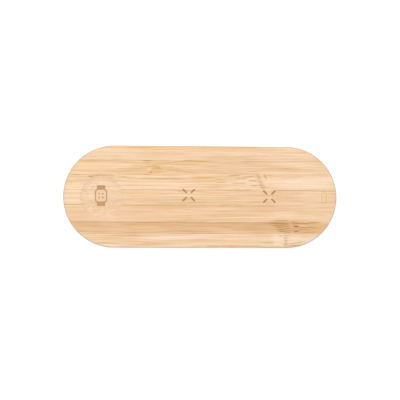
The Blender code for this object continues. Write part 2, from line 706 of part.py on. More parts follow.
def short_leads(x, side, edge_x, sizes):
    # Both leads of a coil beside the board run straight along X, and the outer one climbs beside the ferrite
    inner_radius, outer_radius, _, wire_radius, ferrite_radius = sizes
    coil_z, _, under_z = coil_heights(wire_radius)
    board_z = BOARD_BOTTOM_Z - SEAT_GAP - wire_radius
    pad_x = edge_x - side * PAD_LENGTH
    ferrite_reach = math.sqrt(ferrite_radius**2 - outer_radius**2) + LEAD_CLEARANCE + wire_radius
    drop = drop_radius(inner_radius, wire_radius)
    outer = [
        (pad_x, -outer_radius, board_z),
        (edge_x, -outer_radius, board_z),
        (edge_x + side * BOARD_SIDE_ROOM, -outer_radius, board_z),
        (x - side * ferrite_reach, -outer_radius, coil_z),
    ]
    inner = [
        (pad_x, drop, board_z),
        (edge_x, drop, board_z),
        (x - side * ferrite_radius, drop, under_z),
    ]
    return outer, inner


def long_leads(edge_x, sizes):
    # The leads of the right coil pass in front of the left coil, one outside the other
    inner_radius, outer_radius, _, wire_radius, ferrite_radius = sizes
    coil_z, _, under_z = coil_heights(wire_radius)
    board_z = BOARD_BOTTOM_Z - SEAT_GAP - wire_radius
    near = ferrite_radius + LEAD_CLEARANCE + wire_radius
    far = near + LEAD_CLEARANCE + 2 * wire_radius
    pad_x = edge_x - PAD_LENGTH
    inner = [(pad_x, -near, board_z), (edge_x, -near, board_z)]
    inner += arc_around(LEFT_PHONE_X, near, -math.pi / 2, -LEAD_TURN, under_z)
    inner.append((RIGHT_PHONE_X - near, drop_radius(inner_radius, wire_radius), under_z))
    outer = [
        (pad_x, -far, board_z),
        (edge_x, -far, board_z),
        (LEFT_PHONE_X, -far, under_z),
        (RIGHT_PHONE_X - near, -outer_radius, coil_z),
    ]
    return outer, inner


def make_coils():
    left_edge = BOARD_X - BOARD_WIDTH / 2
    right_edge = BOARD_X + BOARD_WIDTH / 2
    phone = (PHONE_INNER_RADIUS, PHONE_OUTER_RADIUS, PHONE_TURNS, PHONE_WIRE_RADIUS, PHONE_FERRITE_RADIUS)
    watch = (WATCH_INNER_RADIUS, WATCH_OUTER_RADIUS, WATCH_TURNS, WATCH_WIRE_RADIUS, WATCH_FERRITE_RADIUS)
    make_coil("watch", WATCH_X, -1, watch, *short_leads(WATCH_X, -1, left_edge, watch))
    make_coil("phone_left", LEFT_PHONE_X, 1, phone, *short_leads(LEFT_PHONE_X, 1, right_edge, phone))
    make_coil("phone_right", RIGHT_PHONE_X, 1, phone, *long_leads(right_edge, phone))
    # The watch is centred by a magnet in the middle of its coil
    radius = drop_radius(WATCH_INNER_RADIUS, WATCH_WIRE_RADIUS) - WATCH_WIRE_RADIUS - LEAD_CLEARANCE
    top = ADHESIVE_BOTTOM_Z - SEAT_GAP
    finish_part(cylinder("watch_magnet", radius, top - MAGNET_THICKNESS, top, WATCH_X), MAGNET_NICKEL)


def turn_to_plate_end(obj):
    # Lays a pill that was drawn along X across the plate
    obj.rotation_euler = (0, 0, math.radians(90))
    return obj


def make_light():
    place = (WINDOW_X, 0)
    flange_top = CEILING_Z - SEAT_GAP
    flange_bottom = flange_top - FLANGE_THICKNESS
    holder_top = flange_bottom - SEAT_GAP
    holder_bottom = holder_top - HOLDER_HEIGHT
    board_top = holder_bottom - SEAT_GAP
    board_bottom = board_top - LIGHT_BOARD_THICKNESS
    flange_outline = pill_outline(WINDOW_LENGTH + 2 * FLANGE_LIP, FLANGE_WIDTH)
    window_outline = pill_outline(WINDOW_LENGTH, WINDOW_WIDTH)
    flange_middle = (flange_top + flange_bottom) / 2

    window = flat_block("light_window", flange_outline, flange_bottom, flange_top, place)
    lens = flat_block("window lens", window_outline, flange_middle, PLATE_TOP_Z - WINDOW_SINK, place)
    join(turn_to_plate_end(window), turn_to_plate_end(lens))
    finish_part(window, LIGHT_PLASTIC)

    holder = flat_block("light_holder", flange_outline, holder_bottom, holder_top, place)
    well = flat_block(
        "light well", window_outline, holder_bottom - CUT_OVERRUN, holder_top + CUT_OVERRUN, place
    )
    cut(turn_to_plate_end(holder), turn_to_plate_end(well))
    finish_part(holder, BLACK_PLASTIC)

    board_size = (FLANGE_WIDTH, LIGHT_BOARD_LENGTH, LIGHT_BOARD_THICKNESS)
    board = box("light_board", board_size, (WINDOW_X, 0, (board_top + board_bottom) / 2))
    finish_part(board, BOARD_LAMINATE)
    lamp_z = board_top + SEAT_GAP + LAMP_SIZE[2] / 2
    finish_part(round_edges(box("lamp", LAMP_SIZE, (WINDOW_X, 0, lamp_z)), PACKAGE_ROUNDING, 1), LIGHT_PLASTIC)
    make_light_cable(board_bottom - SEAT_GAP - CABLE_RADIUS)


def make_light_cable(start_z):
    # From under the light board, behind both coils of the phones and inside the boss between them
    end_z = BOARD_BOTTOM_Z - SEAT_GAP - CABLE_RADIUS
    reach = PHONE_FERRITE_RADIUS + LEAD_CLEARANCE + CABLE_RADIUS
    board_edge = BOARD_X + BOARD_WIDTH / 2
    leave_y = reach * math.sin(CABLE_LEAVE)
    route = [(WINDOW_X, 0, start_z), (WINDOW_X - FLANGE_WIDTH, 0, start_z)]
    route += arc_around(RIGHT_PHONE_X, reach, CABLE_MEET, math.pi / 2, start_z)
    route.append((MIDDLE_BOSS_X, BOSS_REACH - BOSS_RADIUS - LEAD_CLEARANCE - CABLE_RADIUS, start_z))
    route += arc_around(LEFT_PHONE_X, reach, math.pi / 2, CABLE_LEAVE, end_z)
    route += [(board_edge, leave_y, end_z), (board_edge - PAD_LENGTH, leave_y, end_z)]
    tube("light_cable", curve_through(route, LEAD_STEPS), CABLE_RADIUS, CABLE_JACKET, CABLE_FACETS)


def main():
    make_bamboo_housing()
    make_bottom_cover()
    make_feet()
    make_cover_screws()
    make_main_board()
    make_board_screws()
    make_packages()
    make_port_shell()
    make_port_moulding()
    make_coils()
    make_light()
    size = (PLATE_LENGTH, PLATE_WIDTH, PLATE_TOP_Z)
    print("charger:", " x ".join(f"{1000 * side:.1f}" for side in size), "mm over the feet")


main()
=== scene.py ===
import math

import bmesh
import bpy
from mathutils import Matrix, Vector


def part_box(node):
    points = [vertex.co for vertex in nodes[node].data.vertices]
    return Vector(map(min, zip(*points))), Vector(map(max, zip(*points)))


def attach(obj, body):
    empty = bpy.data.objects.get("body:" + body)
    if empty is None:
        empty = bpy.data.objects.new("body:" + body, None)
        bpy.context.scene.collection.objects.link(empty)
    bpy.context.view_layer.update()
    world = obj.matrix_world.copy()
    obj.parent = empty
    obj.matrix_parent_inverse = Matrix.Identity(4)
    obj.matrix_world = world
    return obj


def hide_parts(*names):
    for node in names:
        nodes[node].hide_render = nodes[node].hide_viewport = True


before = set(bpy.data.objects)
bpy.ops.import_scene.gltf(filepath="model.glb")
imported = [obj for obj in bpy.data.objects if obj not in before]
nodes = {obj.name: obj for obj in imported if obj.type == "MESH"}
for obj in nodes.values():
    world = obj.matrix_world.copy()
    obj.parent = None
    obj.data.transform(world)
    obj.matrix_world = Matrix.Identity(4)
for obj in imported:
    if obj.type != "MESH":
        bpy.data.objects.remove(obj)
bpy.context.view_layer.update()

# A bamboo charging plate for two phones and a watch. Lengths in the settings are in millimetres.
mm = 0.001
overrun = 1.0  # how far a cutter stands out of what it cuts
near = 0.01  # places closer than this count as one
merge = 0.001  # points closer than this become one
print("frame loaded,", len(nodes), "nodes")


def boxOf(node):
    low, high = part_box(node)
    return low / mm, high / mm


def middleOf(node):
    low, high = boxOf(node)
    return (low + high) / 2


def placesOf(kind):
    # middles, on the ground, of the nodes that share a name, in the order of their numbers
    return [(*middleOf(name).xy, 0) for name in sorted(nodes) if name.startswith(kind)]


watchPlace = middleOf("watch_magnet")
labelPlace = middleOf("phone_right_ferrite")
windowPlace = middleOf("light_window")
portPlace = middleOf("port_shell")
coverScrews = [(round(x, 2), round(y, 2), 0) for x, y, _ in placesOf("cover_screw_")]
boardScrews, feet = placesOf("board_screw_"), placesOf("foot_")


def tone(red, green, blue):
    # a colour as a screen shows it, 0 to 255, turned into Blender's linear light
    shares = [value / 255 for value in (red, green, blue)]
    return (*[((s + 0.055) / 1.055) ** 2.4 if s > 0.04 else s / 12.92 for s in shares], 1.0)


def newObject(name, data):
    made = bpy.data.objects.new(name, data)
    bpy.context.scene.collection.objects.link(made)
    return made


# camera, fitted to the outline and the marks in the photograph
camera = {
    "azimuth": 190.0,  # degrees from +X, towards +Y
    "elevation": 86.31,
    "roll": 0.261,
    "distance": 950.0,
    "aim": (-0.82, -2.72, 12.3),
    "lens": 96.75,
    "sensor": 36.0,
    "sees": (50.0, 20000.0),  # nearest and farthest
}


def makeCamera():
    around, up = math.radians(camera["azimuth"]), math.radians(camera["elevation"])
    back = Vector((math.cos(up) * math.cos(around), math.cos(up) * math.sin(around), math.sin(up)))
    level = Vector((0, 1, 0))
    top = (level - level.dot(back) * back).normalized()
    right = top.cross(back)
    turn = Matrix((right, top, back)).transposed() @ Matrix.Rotation(math.radians(camera["roll"]), 3, "Z")
    spot = (Vector(camera["aim"]) + back * camera["distance"]) * mm
    data = bpy.data.cameras.new("camera")
    data.lens, data.sensor_width = camera["lens"], camera["sensor"]
    data.clip_start, data.clip_end = [reach * mm for reach in camera["sees"]]
    eye = newObject("camera", data)
    eye.matrix_world = Matrix.Translation(spot) @ turn.to_4x4()
    bpy.context.scene.camera = eye


makeCamera()
print("camera placed")


# small helpers for meshes
def makePiece(name, shape, material, closed=True):
    mesh = bpy.data.meshes.new(name)
    if closed:
        bmesh.ops.recalc_face_normals(shape, faces=shape.faces)
    bmesh.ops.scale(shape, vec=(mm, mm, mm), verts=shape.verts)
    shape.to_mesh(mesh)
    shape.free()
    mesh.materials.append(material)
    return newObject(name, mesh)


def settle(piece):
    # the mesh as its modifiers leave it
    bpy.context.view_layer.update()
    graph = bpy.context.evaluated_depsgraph_get()
    settled = bpy.data.meshes.new_from_object(piece.evaluated_get(graph))
    piece.modifiers.clear()
    piece.data = settled
    settled.name = piece.name


def combine(piece, operation, *others):
    for other in others:
        modifier = piece.modifiers.new(operation, "BOOLEAN")
        modifier.operation = operation
        modifier.object = other
        modifier.solver = "EXACT"
        modifier.material_mode = "TRANSFER"
    settle(piece)
    for other in others:
        bpy.data.objects.remove(other)


def carve(piece, shape, material):
    combine(piece, "DIFFERENCE", makePiece("cutter", shape, material))


def weld(piece, shape, material):
    combine(piece, "UNION", makePiece("addition", shape, material))


def standIn(piece, slot, *replaced, angle=25):
    # large flat faces keep their own shading, and the small roundings beside them blend
    piece.data.shade_smooth()
    piece.data.set_sharp_from_angle(angle=math.radians(angle))
    weighted = piece.modifiers.new("even shading", "WEIGHTED_NORMAL")
    weighted.keep_sharp = True
    settle(piece)
    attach(piece, "root")
    if replaced:
        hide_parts(*replaced)


def placed(shape, made, centre, turn=0.0, tilt=0.0):
    # turn is about the upright axis; a tilt of -90 lays the shape's own height along +Y
    matrix = Matrix.Rotation(math.radians(turn), 4, "Z") @ Matrix.Rotation(math.radians(tilt), 4, "X")
    bmesh.ops.transform(shape, matrix=Matrix.Translation(centre) @ matrix, verts=made)


def addBlock(shape, outline, low, high, **place):
    # gives a flat face a thickness and closes it
    bmesh.ops.translate(shape, vec=(0, 0, low), verts=outline.verts)
    lower = list(outline.verts)
    grown = bmesh.ops.extrude_face_region(shape, geom=[outline], use_keep_orig=True)["geom"]
    upper = [part for part in grown if isinstance(part, bmesh.types.BMVert)]
    bmesh.ops.translate(shape, vec=(0, 0, high - low), verts=upper)
    placed(shape, lower + upper, **place)


def addPill(shape, length, width, low, high, steps=8, **place):
    ring = bmesh.ops.create_circle(shape, cap_ends=True, segments=4 * steps, radius=width / 2)["verts"]
    half = math.pi / (4 * steps)
    bmesh.ops.rotate(shape, verts=ring, cent=(0, 0, 0), matrix=Matrix.Rotation(half, 3, "Z"))
    bmesh.ops.scale(shape, vec=(1 / math.cos(half), 1 / math.cos(half), 1), verts=ring)
    for side in (-1, 1):
        moved = [vert for vert in ring if vert.co.x * side > 0]
        bmesh.ops.translate(shape, vec=(side * (length - width) / 2, 0, 0), verts=moved)
    addBlock(shape, ring[0].link_faces[0], low, high, **place)


def roundOff(shape, geom, size, steps, affect):
    return bmesh.ops.bevel(
        shape, geom=geom, offset=size, offset_type="OFFSET", affect=affect, segments=steps, profile=0.5,
        material=-1,
    )["verts"]


def addPanel(shape, length, width, corner, low, high, steps=5, **place):
    made = bmesh.ops.create_grid(shape, x_segments=1, y_segments=1, size=0.5)["verts"]
    bmesh.ops.scale(shape, vec=(length, width, 1), verts=made)
    rounded = roundOff(shape, made, corner, steps, "VERTICES")
    face = max(rounded[0].link_faces, key=lambda one: one.calc_area())
    addBlock(shape, face, low, high, **place)


def addTurned(shape, profile, centre, sides):
    # a profile in (radius, height), turned about the upright axis
    points = [shape.verts.new((radius, 0, height)) for radius, height in profile]
    line = [shape.edges.new(pair) for pair in zip(points, points[1:])]
    before = set(shape.verts) - set(points)
    bmesh.ops.spin(
        shape, geom=points + line, cent=(0, 0, 0), axis=(0, 0, 1), angle=math.tau, steps=sides,
        use_merge=True, use_duplicate=False,
    )
    made = [vert for vert in shape.verts if vert not in before]
    bmesh.ops.remove_doubles(shape, verts=made, dist=merge)
    made = [vert for vert in shape.verts if vert not in before]
    bmesh.ops.translate(shape, vec=centre, verts=made)


def addRod(shape, radius, high, low, centre, sides):
    addTurned(shape, [(0, high), (radius, high), (radius, low), (0, low)], centre, sides)


def softenEdges(shape, axis, start, size, steps, flatOnly=False):
    # rounds the edges that lie at or past a place on an axis, or only those of them that don't rise
    edges = [edge for edge in shape.edges if all(vert.co[axis] > start - near for vert in edge.verts)]
    if flatOnly:
        edges = [edge for edge in edges if abs(edge.verts[0].co.z - edge.verts[1].co.z) < near]
    roundOff(shape, edges, size, steps, "EDGES")


def rowOf(count, pitch):
    # places along X, evenly on both sides of the charging port
    return [portPlace.x + (number - (count - 1) / 2) * pitch for number in range(count)]


def stadium(profile, halfLength, halfWidth, steps):
    # sweeps a profile in (inset, height) round the plate's outline and closes both its ends
    shape = bmesh.new()
    end = halfLength - halfWidth
    points = [shape.verts.new((end, inset - halfWidth, height)) for inset, height in profile]
    sweep = points + [shape.edges.new(pair) for pair in zip(points, points[1:])]
    for side in (1, -1):
        turned = bmesh.ops.spin(
            shape, geom=sweep, cent=(side * end, 0, 0), axis=(0, 0, 1), angle=math.pi, steps=steps
        )["geom_last"]
        edges = [part for part in turned if isinstance(part, bmesh.types.BMEdge)]
        sweep = bmesh.ops.extrude_edge_only(shape, edges=edges)["geom"]
        moved = [part for part in sweep if isinstance(part, bmesh.types.BMVert)]
        bmesh.ops.translate(shape, vec=(-side * 2 * end, 0, 0), verts=moved)
        sweep = [part for part in sweep if not isinstance(part, bmesh.types.BMFace)]
    bmesh.ops.remove_doubles(shape, verts=shape.verts, dist=merge)
    openEdges = [edge for edge in shape.edges if edge.is_boundary]
    bmesh.ops.holes_fill(shape, edges=openEdges, sides=0)
    return shape


def roundingOf(radius, inset, height, fromTop, steps):
    # a quarter round as (inset, height) points, from the flat face to the wall
    points = []
    for step in range(steps + 1):
        angle = math.radians(90) * step / steps
        rise = radius * (1 - math.cos(angle)) * (-1 if fromTop else 1)
        points.append((inset + radius * (1 - math.sin(angle)), height + rise))
    return points


# small helpers for materials
def addNode(tree, kind, feeds, **settings):
    node = tree.nodes.new(kind)
    for name, value in settings.items():
        setattr(node, name, value)
    for key, value in feeds.items():
        if isinstance(value, bpy.types.NodeSocket):
            tree.links.new(value, node.inputs[key])
        else:
            node.inputs[key].default_value = value
    return node


def grow(kind, feeds, **settings):
    # a node in the tree that the sockets among its feeds belong to
    tree = next(value.id_data for value in feeds.values() if isinstance(value, bpy.types.NodeSocket))
    return addNode(tree, kind, feeds, **settings)


def calc(operation, *values, clamp=False):
    feeds = dict(enumerate(values))
    return grow("ShaderNodeMath", feeds, operation=operation, use_clamp=clamp).outputs[0]


def plus(one, other, clamp=False):
    return calc("ADD", one, other, clamp=clamp)


def minus(one, other):
    return calc("SUBTRACT", one, other)


def times(one, other, clamp=False):
    return calc("MULTIPLY", one, other, clamp=clamp)


def timesPlus(one, other, added):
    return calc("MULTIPLY_ADD", one, other, added)


def vectorCalc(operation, one, other, result="Vector"):
    return grow("ShaderNodeVectorMath", {0: one, 1: other}, operation=operation).outputs[result]


def ease(value, start, stop, low=0.0, high=1.0):
    feeds = {0: value, 1: start, 2: stop, 3: low, 4: high}
    return grow("ShaderNodeMapRange", feeds, interpolation_type="SMOOTHSTEP").outputs[0]


def bell(value, width):
    share = calc("DIVIDE", value, width)
    return calc("EXPONENT", times(times(share, share), -1.0))


def noise(vector, grain, detail=2.0, roughness=0.5):
    # grain is the size of one swell along X, Y and Z
    scaled = vectorCalc("DIVIDE", vector, grain)
    feeds = {"Vector": scaled, "Scale": 1.0, "Detail": detail, "Roughness": roughness}
    return grow("ShaderNodeTexNoise", feeds).outputs[0]


def mixColour(factor, below, above, blend="MIX"):
    below, above = [tone(*side) if isinstance(side, tuple) else side for side in (below, above)]
    feeds = {0: factor, 6: below, 7: above}
    return grow("ShaderNodeMix", feeds, data_type="RGBA", blend_type=blend).outputs[2]


def join3(x, y, z):
    return grow("ShaderNodeCombineXYZ", {0: x, 1: y, 2: z}).outputs[0]


def split3(vector):
    return grow("ShaderNodeSeparateXYZ", {0: vector}).outputs[:3]


def newGroup(name, vectors, floats, **results):
    # inputs of both kinds by name, and the kind of each output
    group = bpy.data.node_groups.new(name, "ShaderNodeTree")
    for kind, labels in (("Vector", vectors), ("Float", floats)):
        for label in labels:
            group.interface.new_socket(label, in_out="INPUT", socket_type="NodeSocket" + kind)
    for label, kind in results.items():
        group.interface.new_socket(label, in_out="OUTPUT", socket_type="NodeSocket" + kind)
    return group, group.nodes.new("NodeGroupInput").outputs, group.nodes.new("NodeGroupOutput").inputs


def useGroup(group, **feeds):
    return grow("ShaderNodeGroup", feeds, node_tree=group).outputs


def newMaterial(name, **shine):
    material = bpy.data.materials.new(name)
    material.use_nodes = True
    tree = material.node_tree
    shader = tree.nodes["Principled BSDF"]
    for label, value in shine.items():
        shader.inputs[label.replace("_", " ")].default_value = value
    return material, tree, shader.inputs


def millimetres(tree, centre=(0, 0, 0)):
    # the object's own coordinates in millimetres, from a chosen middle
    coords = tree.nodes.new("ShaderNodeTexCoord").outputs["Object"]
    start = tuple(-side for side in centre)
    feeds = {"Vector": coords, "Location": start, "Scale": (1 / mm, 1 / mm, 1 / mm)}
    return addNode(tree, "ShaderNodeMapping", feeds).outputs[0]


def dress(shader, colour, roughness):
    links = colour.id_data.links
    links.new(colour, shader["Base Color"])
    links.new(roughness, shader["Roughness"])


def addBump(shader, height, depth, strength):
    bump = grow("ShaderNodeBump", {"Height": height, "Distance": depth * mm, "Strength": strength})
    height.id_data.links.new(bump.outputs[0], shader["Normal"])


# shared surface effects
def makeSpeckleGroup():
    # soft clouds with fine grain on top, for moulded, sprayed and sintered surfaces
    tree, given, made = newGroup("speckle", ["Vector"], ["Size", "Amount"], Mask="Float", Height="Float")
    feeds = {0: given["Vector"], "Scale": given["Size"]}
    small = grow("ShaderNodeVectorMath", feeds, operation="SCALE").outputs[0]
    fine = noise(small, (1, 1, 1), 3.0, 0.7)
    cloud = noise(small, (14, 14, 14), 2.0)
    mixed = plus(times(fine, 0.6), times(cloud, 0.4))
    spread = times(minus(mixed, 0.5), given["Amount"])
    tree.links.new(plus(spread, 0.5, clamp=True), made["Mask"])
    tree.links.new(fine, made["Height"])
    return tree


def makeBrushGroup():
    # fine scratches along X, with a few deeper ones
    tree, given, made = newGroup("brushed", ["Vector"], [], Mask="Float", Height="Float")
    fine = noise(given["Vector"], (3.0, 0.05, 0.05), 3.0, 0.7)
    deep = ease(noise(given["Vector"], (2.0, 0.2, 0.2), 1.0), 0.62, 0.72)
    tree.links.new(fine, made["Mask"])
    tree.links.new(minus(fine, times(deep, 0.5)), made["Height"])
    return tree


speckleGroup = makeSpeckleGroup()
brushGroup = makeBrushGroup()


def makeMoulded(name, dark, pale, roughness, size, amount, depth):
    # plastic, rubber, resin or foam: two near tones, with the grain of its mould
    material, tree, shader = newMaterial(name)
    grain = useGroup(speckleGroup, Vector=millimetres(tree), Size=size, Amount=amount)
    colour = mixColour(grain["Mask"], dark, pale)
    dress(shader, colour, ease(grain["Mask"], 0, 1, roughness + 0.06, roughness - 0.06))
    addBump(shader, grain["Height"], depth, 0.6)
    return material


def makeMetal(name, dark, pale, roughness):
    material, tree, shader = newMaterial(name, Metallic=1.0)
    grain = useGroup(brushGroup, Vector=millimetres(tree))
    cloud = noise(millimetres(tree), (4, 4, 4), 3.0)
    colour = mixColour(cloud, dark, pale)
    dress(shader, colour, ease(grain["Mask"], 0.2, 0.8, roughness - 0.07, roughness + 0.1))
    addBump(shader, grain["Height"], 0.004, 0.5)
    return material


coverMaterial = makeMoulded("coverPlastic", (226, 224, 219), (236, 234, 230), 0.55, 5.0, 2.5, 0.03)
rubberMaterial = makeMoulded("footRubber", (142, 142, 140), (158, 158, 155), 0.8, 4.0, 3.0, 0.04)
blackMaterial = makeMoulded("blackPlastic", (34, 34, 34), (44, 44, 44), 0.5, 6.0, 2.5, 0.01)
resinMaterial = makeMoulded("chipResin", (30, 30, 31), (42, 42, 43), 0.6, 9.0, 4.0, 0.01)
ferriteMaterial = makeMoulded("ferrite", (48, 48, 50), (72, 72, 75), 0.62, 5.0, 4.0, 0.02)
foamMaterial = makeMoulded("adhesiveFoam", (206, 206, 198), (222, 222, 215), 0.85, 3.0, 4.0, 0.06)
jacketMaterial = makeMoulded("cableJacket", (180, 180, 176), (194, 194, 190), 0.5, 2.0, 2.0, 0.01)
screwMaterial = makeMetal("screwSteel", (170, 170, 172), (202, 202, 205), 0.3)
portMaterial = makeMetal("portSteel", (186, 187, 190), (212, 213, 216), 0.28)
magnetMaterial = makeMetal("magnetNickel", (178, 176, 168), (206, 204, 196), 0.2)
contactMaterial = makeMetal("contactGold", (198, 158, 84), (226, 190, 112), 0.25)


# bamboo: strips glued side by side in two layers, with knuckles where the cane had its joints
bamboo = {
    "glueLines": (31.9, 19.2, 6.0, -7.4, -22.6, -32.4),
    "lineDrift": 0.6,  # how far a glue line wanders
    "layerHeight": 6.8,
    "layerShift": 5.4,
    "layerLine": (0.16, 0.6),  # half width and strength
    "stripTones": (
        (250, 220, 187), (248, 216, 179), (254, 224, 191), (249, 218, 181), (251, 218, 182), (237, 198, 155),
        (253, 225, 194),
    ),
    "stripGrain": (0.85, 0.95, 0.95, 1.0, 0.75, 0.95, 1.25),  # how strongly each strip is streaked
    "stripSeed": (237.3, 31.7),  # how far apart two strips' grain is taken, along X and Z
    "sway": (2.6, 0.55, 1.8),  # how far the fibres wander: in long waves, in short ones, in the dish
    "bands": (0.9, 150, 3.0),  # strength, length and width of the grain; then detail and roughness
    "streaks": (2.1, 52, 0.95, 2.0, 0.6),
    "fibres": (0.8, 26, 0.3, 2.0, 0.6),
    "dashes": (0.4, 15, 0.6),
    "base": 0.4,  # how dark the wood is between its streaks
    "dishEdge": (18.8, 17.4),  # where the rougher grain of the dish begins, and where it is full
    "dishShadeRing": (18.6, 0.4, 0.15),  # radius, half width and strength of the shade painted on its edge
    "dishShadeRingFrom": (-86.0, -104.0),  # the painted shade shows to the left alone
    "dishFade": (-0.25, -0.85),  # how far the streaks and the glue lines weaken in the dish
    "seamFade": 5,  # how softly a stretch of glue line ends
    "wobble": (1.2, 0.5),  # how far patches and strokes are drawn aside, along X and Y
    "sawnFrom": (43.9, 44.9),  # where the darker edge begins, from the middle line, and where it is full
    # a pale grey line painted on the rounded top edge, as its shade and grazing reflection: where it begins,
    # from the middle line, and where it is full, then the same in height
    "rimShadeFrom": (43.0, 44.4),
    "rimShadeHeight": (11.1, 11.9),
    "sawnEnds": (0.007, 0.2),  # how much darker with each millimetre round an end, and on the straight sides
    "rimShadeEnds": (0.0, 8.0, 0.0, 0.4),  # how the painted shade and reflection on the rounded top edge grows round an end: from, to, and both strengths
    "shade": (222, 196, 160),  # what a dark streak takes from the strip's tone
    "rose": (253, 208, 184),
    "olive": (232, 203, 146),
    "joint": (170, 114, 44),  # tone that glue lines, knuckles, the painted shade on the dish's edge and the darker lines along the long edges tend to
    "pale": (255, 230, 190),
    "sawn": (206, 166, 118),
    # tone of the painted shade and reflection on the rounded top edge
    "rim": (208, 196, 176),
}

# stretches of glue line that show: place across, ends along, width, strength. The four rows at about 44 from
# the middle line are no glue lines but darker lines painted along the rounded front and rear edges, those at
# the front as painted shade of the rounding
seamsAndEdgeShade = (
    (31.9, -112, -28, 0.26, 0.6), (31.9, 34, 118, 0.25, 0.5), (19.2, -118, -84, 0.2, 0.4),
    (19.2, -62, -18, 0.22, 0.35), (19.2, 59, 118, 0.2, 0.34), (6.0, -125, -70, 0.25, 0.7),
    (6.0, -72, 42, 0.26, 0.55), (6.0, 64, 119, 0.3, 0.9), (-7.4, -125, 24, 0.28, 0.62),
    (-7.4, 20, 119, 0.22, 0.35), (-7.4, 48, 66, 0.25, 0.45), (-22.6, -118, 104, 0.36, 0.65),
    (-32.4, -104, 60, 0.26, 0.4), (-43.5, 4, 54, 0.5, 0.3), (-43.9, -70, 70, 0.4, 0.12),
    (43.4, -70, -44, 0.4, 0.25), (44.1, 0, 48, 0.4, 0.25),
)

# soft patches of another tone: place, half lengths, colour and strength
patches = (
    ((0, -24.6), (125, 1.9), (216, 172, 124), 0.5),
    ((-42, 25), (30, 5.5), (240, 198, 146), 0.4),
    ((-35, 43.0), (46, 1.7), (244, 190, 128), 0.5),
    ((40, 43.0), (34, 1.6), (240, 192, 138), 0.4),
    ((-30, -9.2), (44, 2.0), (226, 178, 120), 0.55),
    ((-25, -40.2), (24, 2.6), (236, 196, 144), 0.4),
    ((-46, 3.6), (22, 2.6), (238, 194, 140), 0.4),
    ((-93, 16.2), (20, 2.8), (234, 190, 140), 0.4),
    ((82, 31), (20, 4.5), (255, 227, 196), 0.35),
    ((75, -15), (11, 3.0), (255, 225, 192), 0.35),
    ((5, 17.0), (14, 1.5), (236, 194, 126), 0.6),
    ((-4, 31.2), (14, 1.7), (234, 188, 118), 0.6),
    ((-40, 25.0), (8, 5.0), (232, 186, 122), 0.42),
    ((90, 12.5), (28, 5.5), (255, 228, 202), 0.45),
    ((14, -38.8), (46, 4.0), (240, 204, 162), 0.4),
    ((-20, -35.0), (30, 2.0), (255, 232, 206), 0.3),
    ((-87.1, 0.0), (17.5, 17.5), (232, 202, 176), 0.3),
    ((68.5, -38), (5.0, 5.0), (250, 228, 200), 0.6),
    ((85, -35.4), (4.6, 1.8), (253, 208, 178), 0.6),
    ((88, -40.2), (5.0, 1.5), (236, 200, 142), 0.5),
    ((72, -23.5), (12, 2.4), (208, 156, 100), 0.55),
    ((78, -27.6), (9, 3.6), (212, 160, 104), 0.5),
    ((98, -26.5), (16, 5.0), (224, 168, 108), 0.65),
    ((52.0, 18.0), (2.8, 2.6), (246, 196, 152), 0.45),
    ((-39.8, 26.0), (3.6, 3.4), (226, 178, 112), 0.4),
    ((-45.6, 24.4), (2.6, 1.6), (254, 222, 162), 0.3),
    ((38, 12.6), (17, 5.0), (255, 228, 196), 0.35),
    ((-90, 40), (30, 4), (252, 222, 186), 0.3),
    ((-114, -1), (11, 6.0), (250, 217, 186), 0.55),
    ((-94, 25), (22, 5.5), (242, 206, 160), 0.5),
    ((101, 0), (15, 6.0), (253, 222, 189), 0.35),
    ((93, -38), (14, 3.5), (254, 226, 198), 0.55),
    ((106, 0), (17, 40), (255, 227, 192), 0.16),
    ((-88, 0.4), (4.5, 5.2), (236, 194, 142), 0.3),
)

# where the grain swells and ripples round a knuckle: middle, half the strip, reach, swell, ripple
knuckles = (
    ((-30.0, 25.5), 6.5, 20.0, 1.1, 0.7),
    ((34.0, 12.6), 6.6, 24.0, 0.5, 1.1),
    ((76.0, -27.5), 4.9, 12.0, 0.8, 1.2),
    ((75.5, -38.5), 6.1, 9.0, -0.8, 1.0),
    ((-90.0, 17.0), 5.0, 20.0, 0.6, 0.8),
)

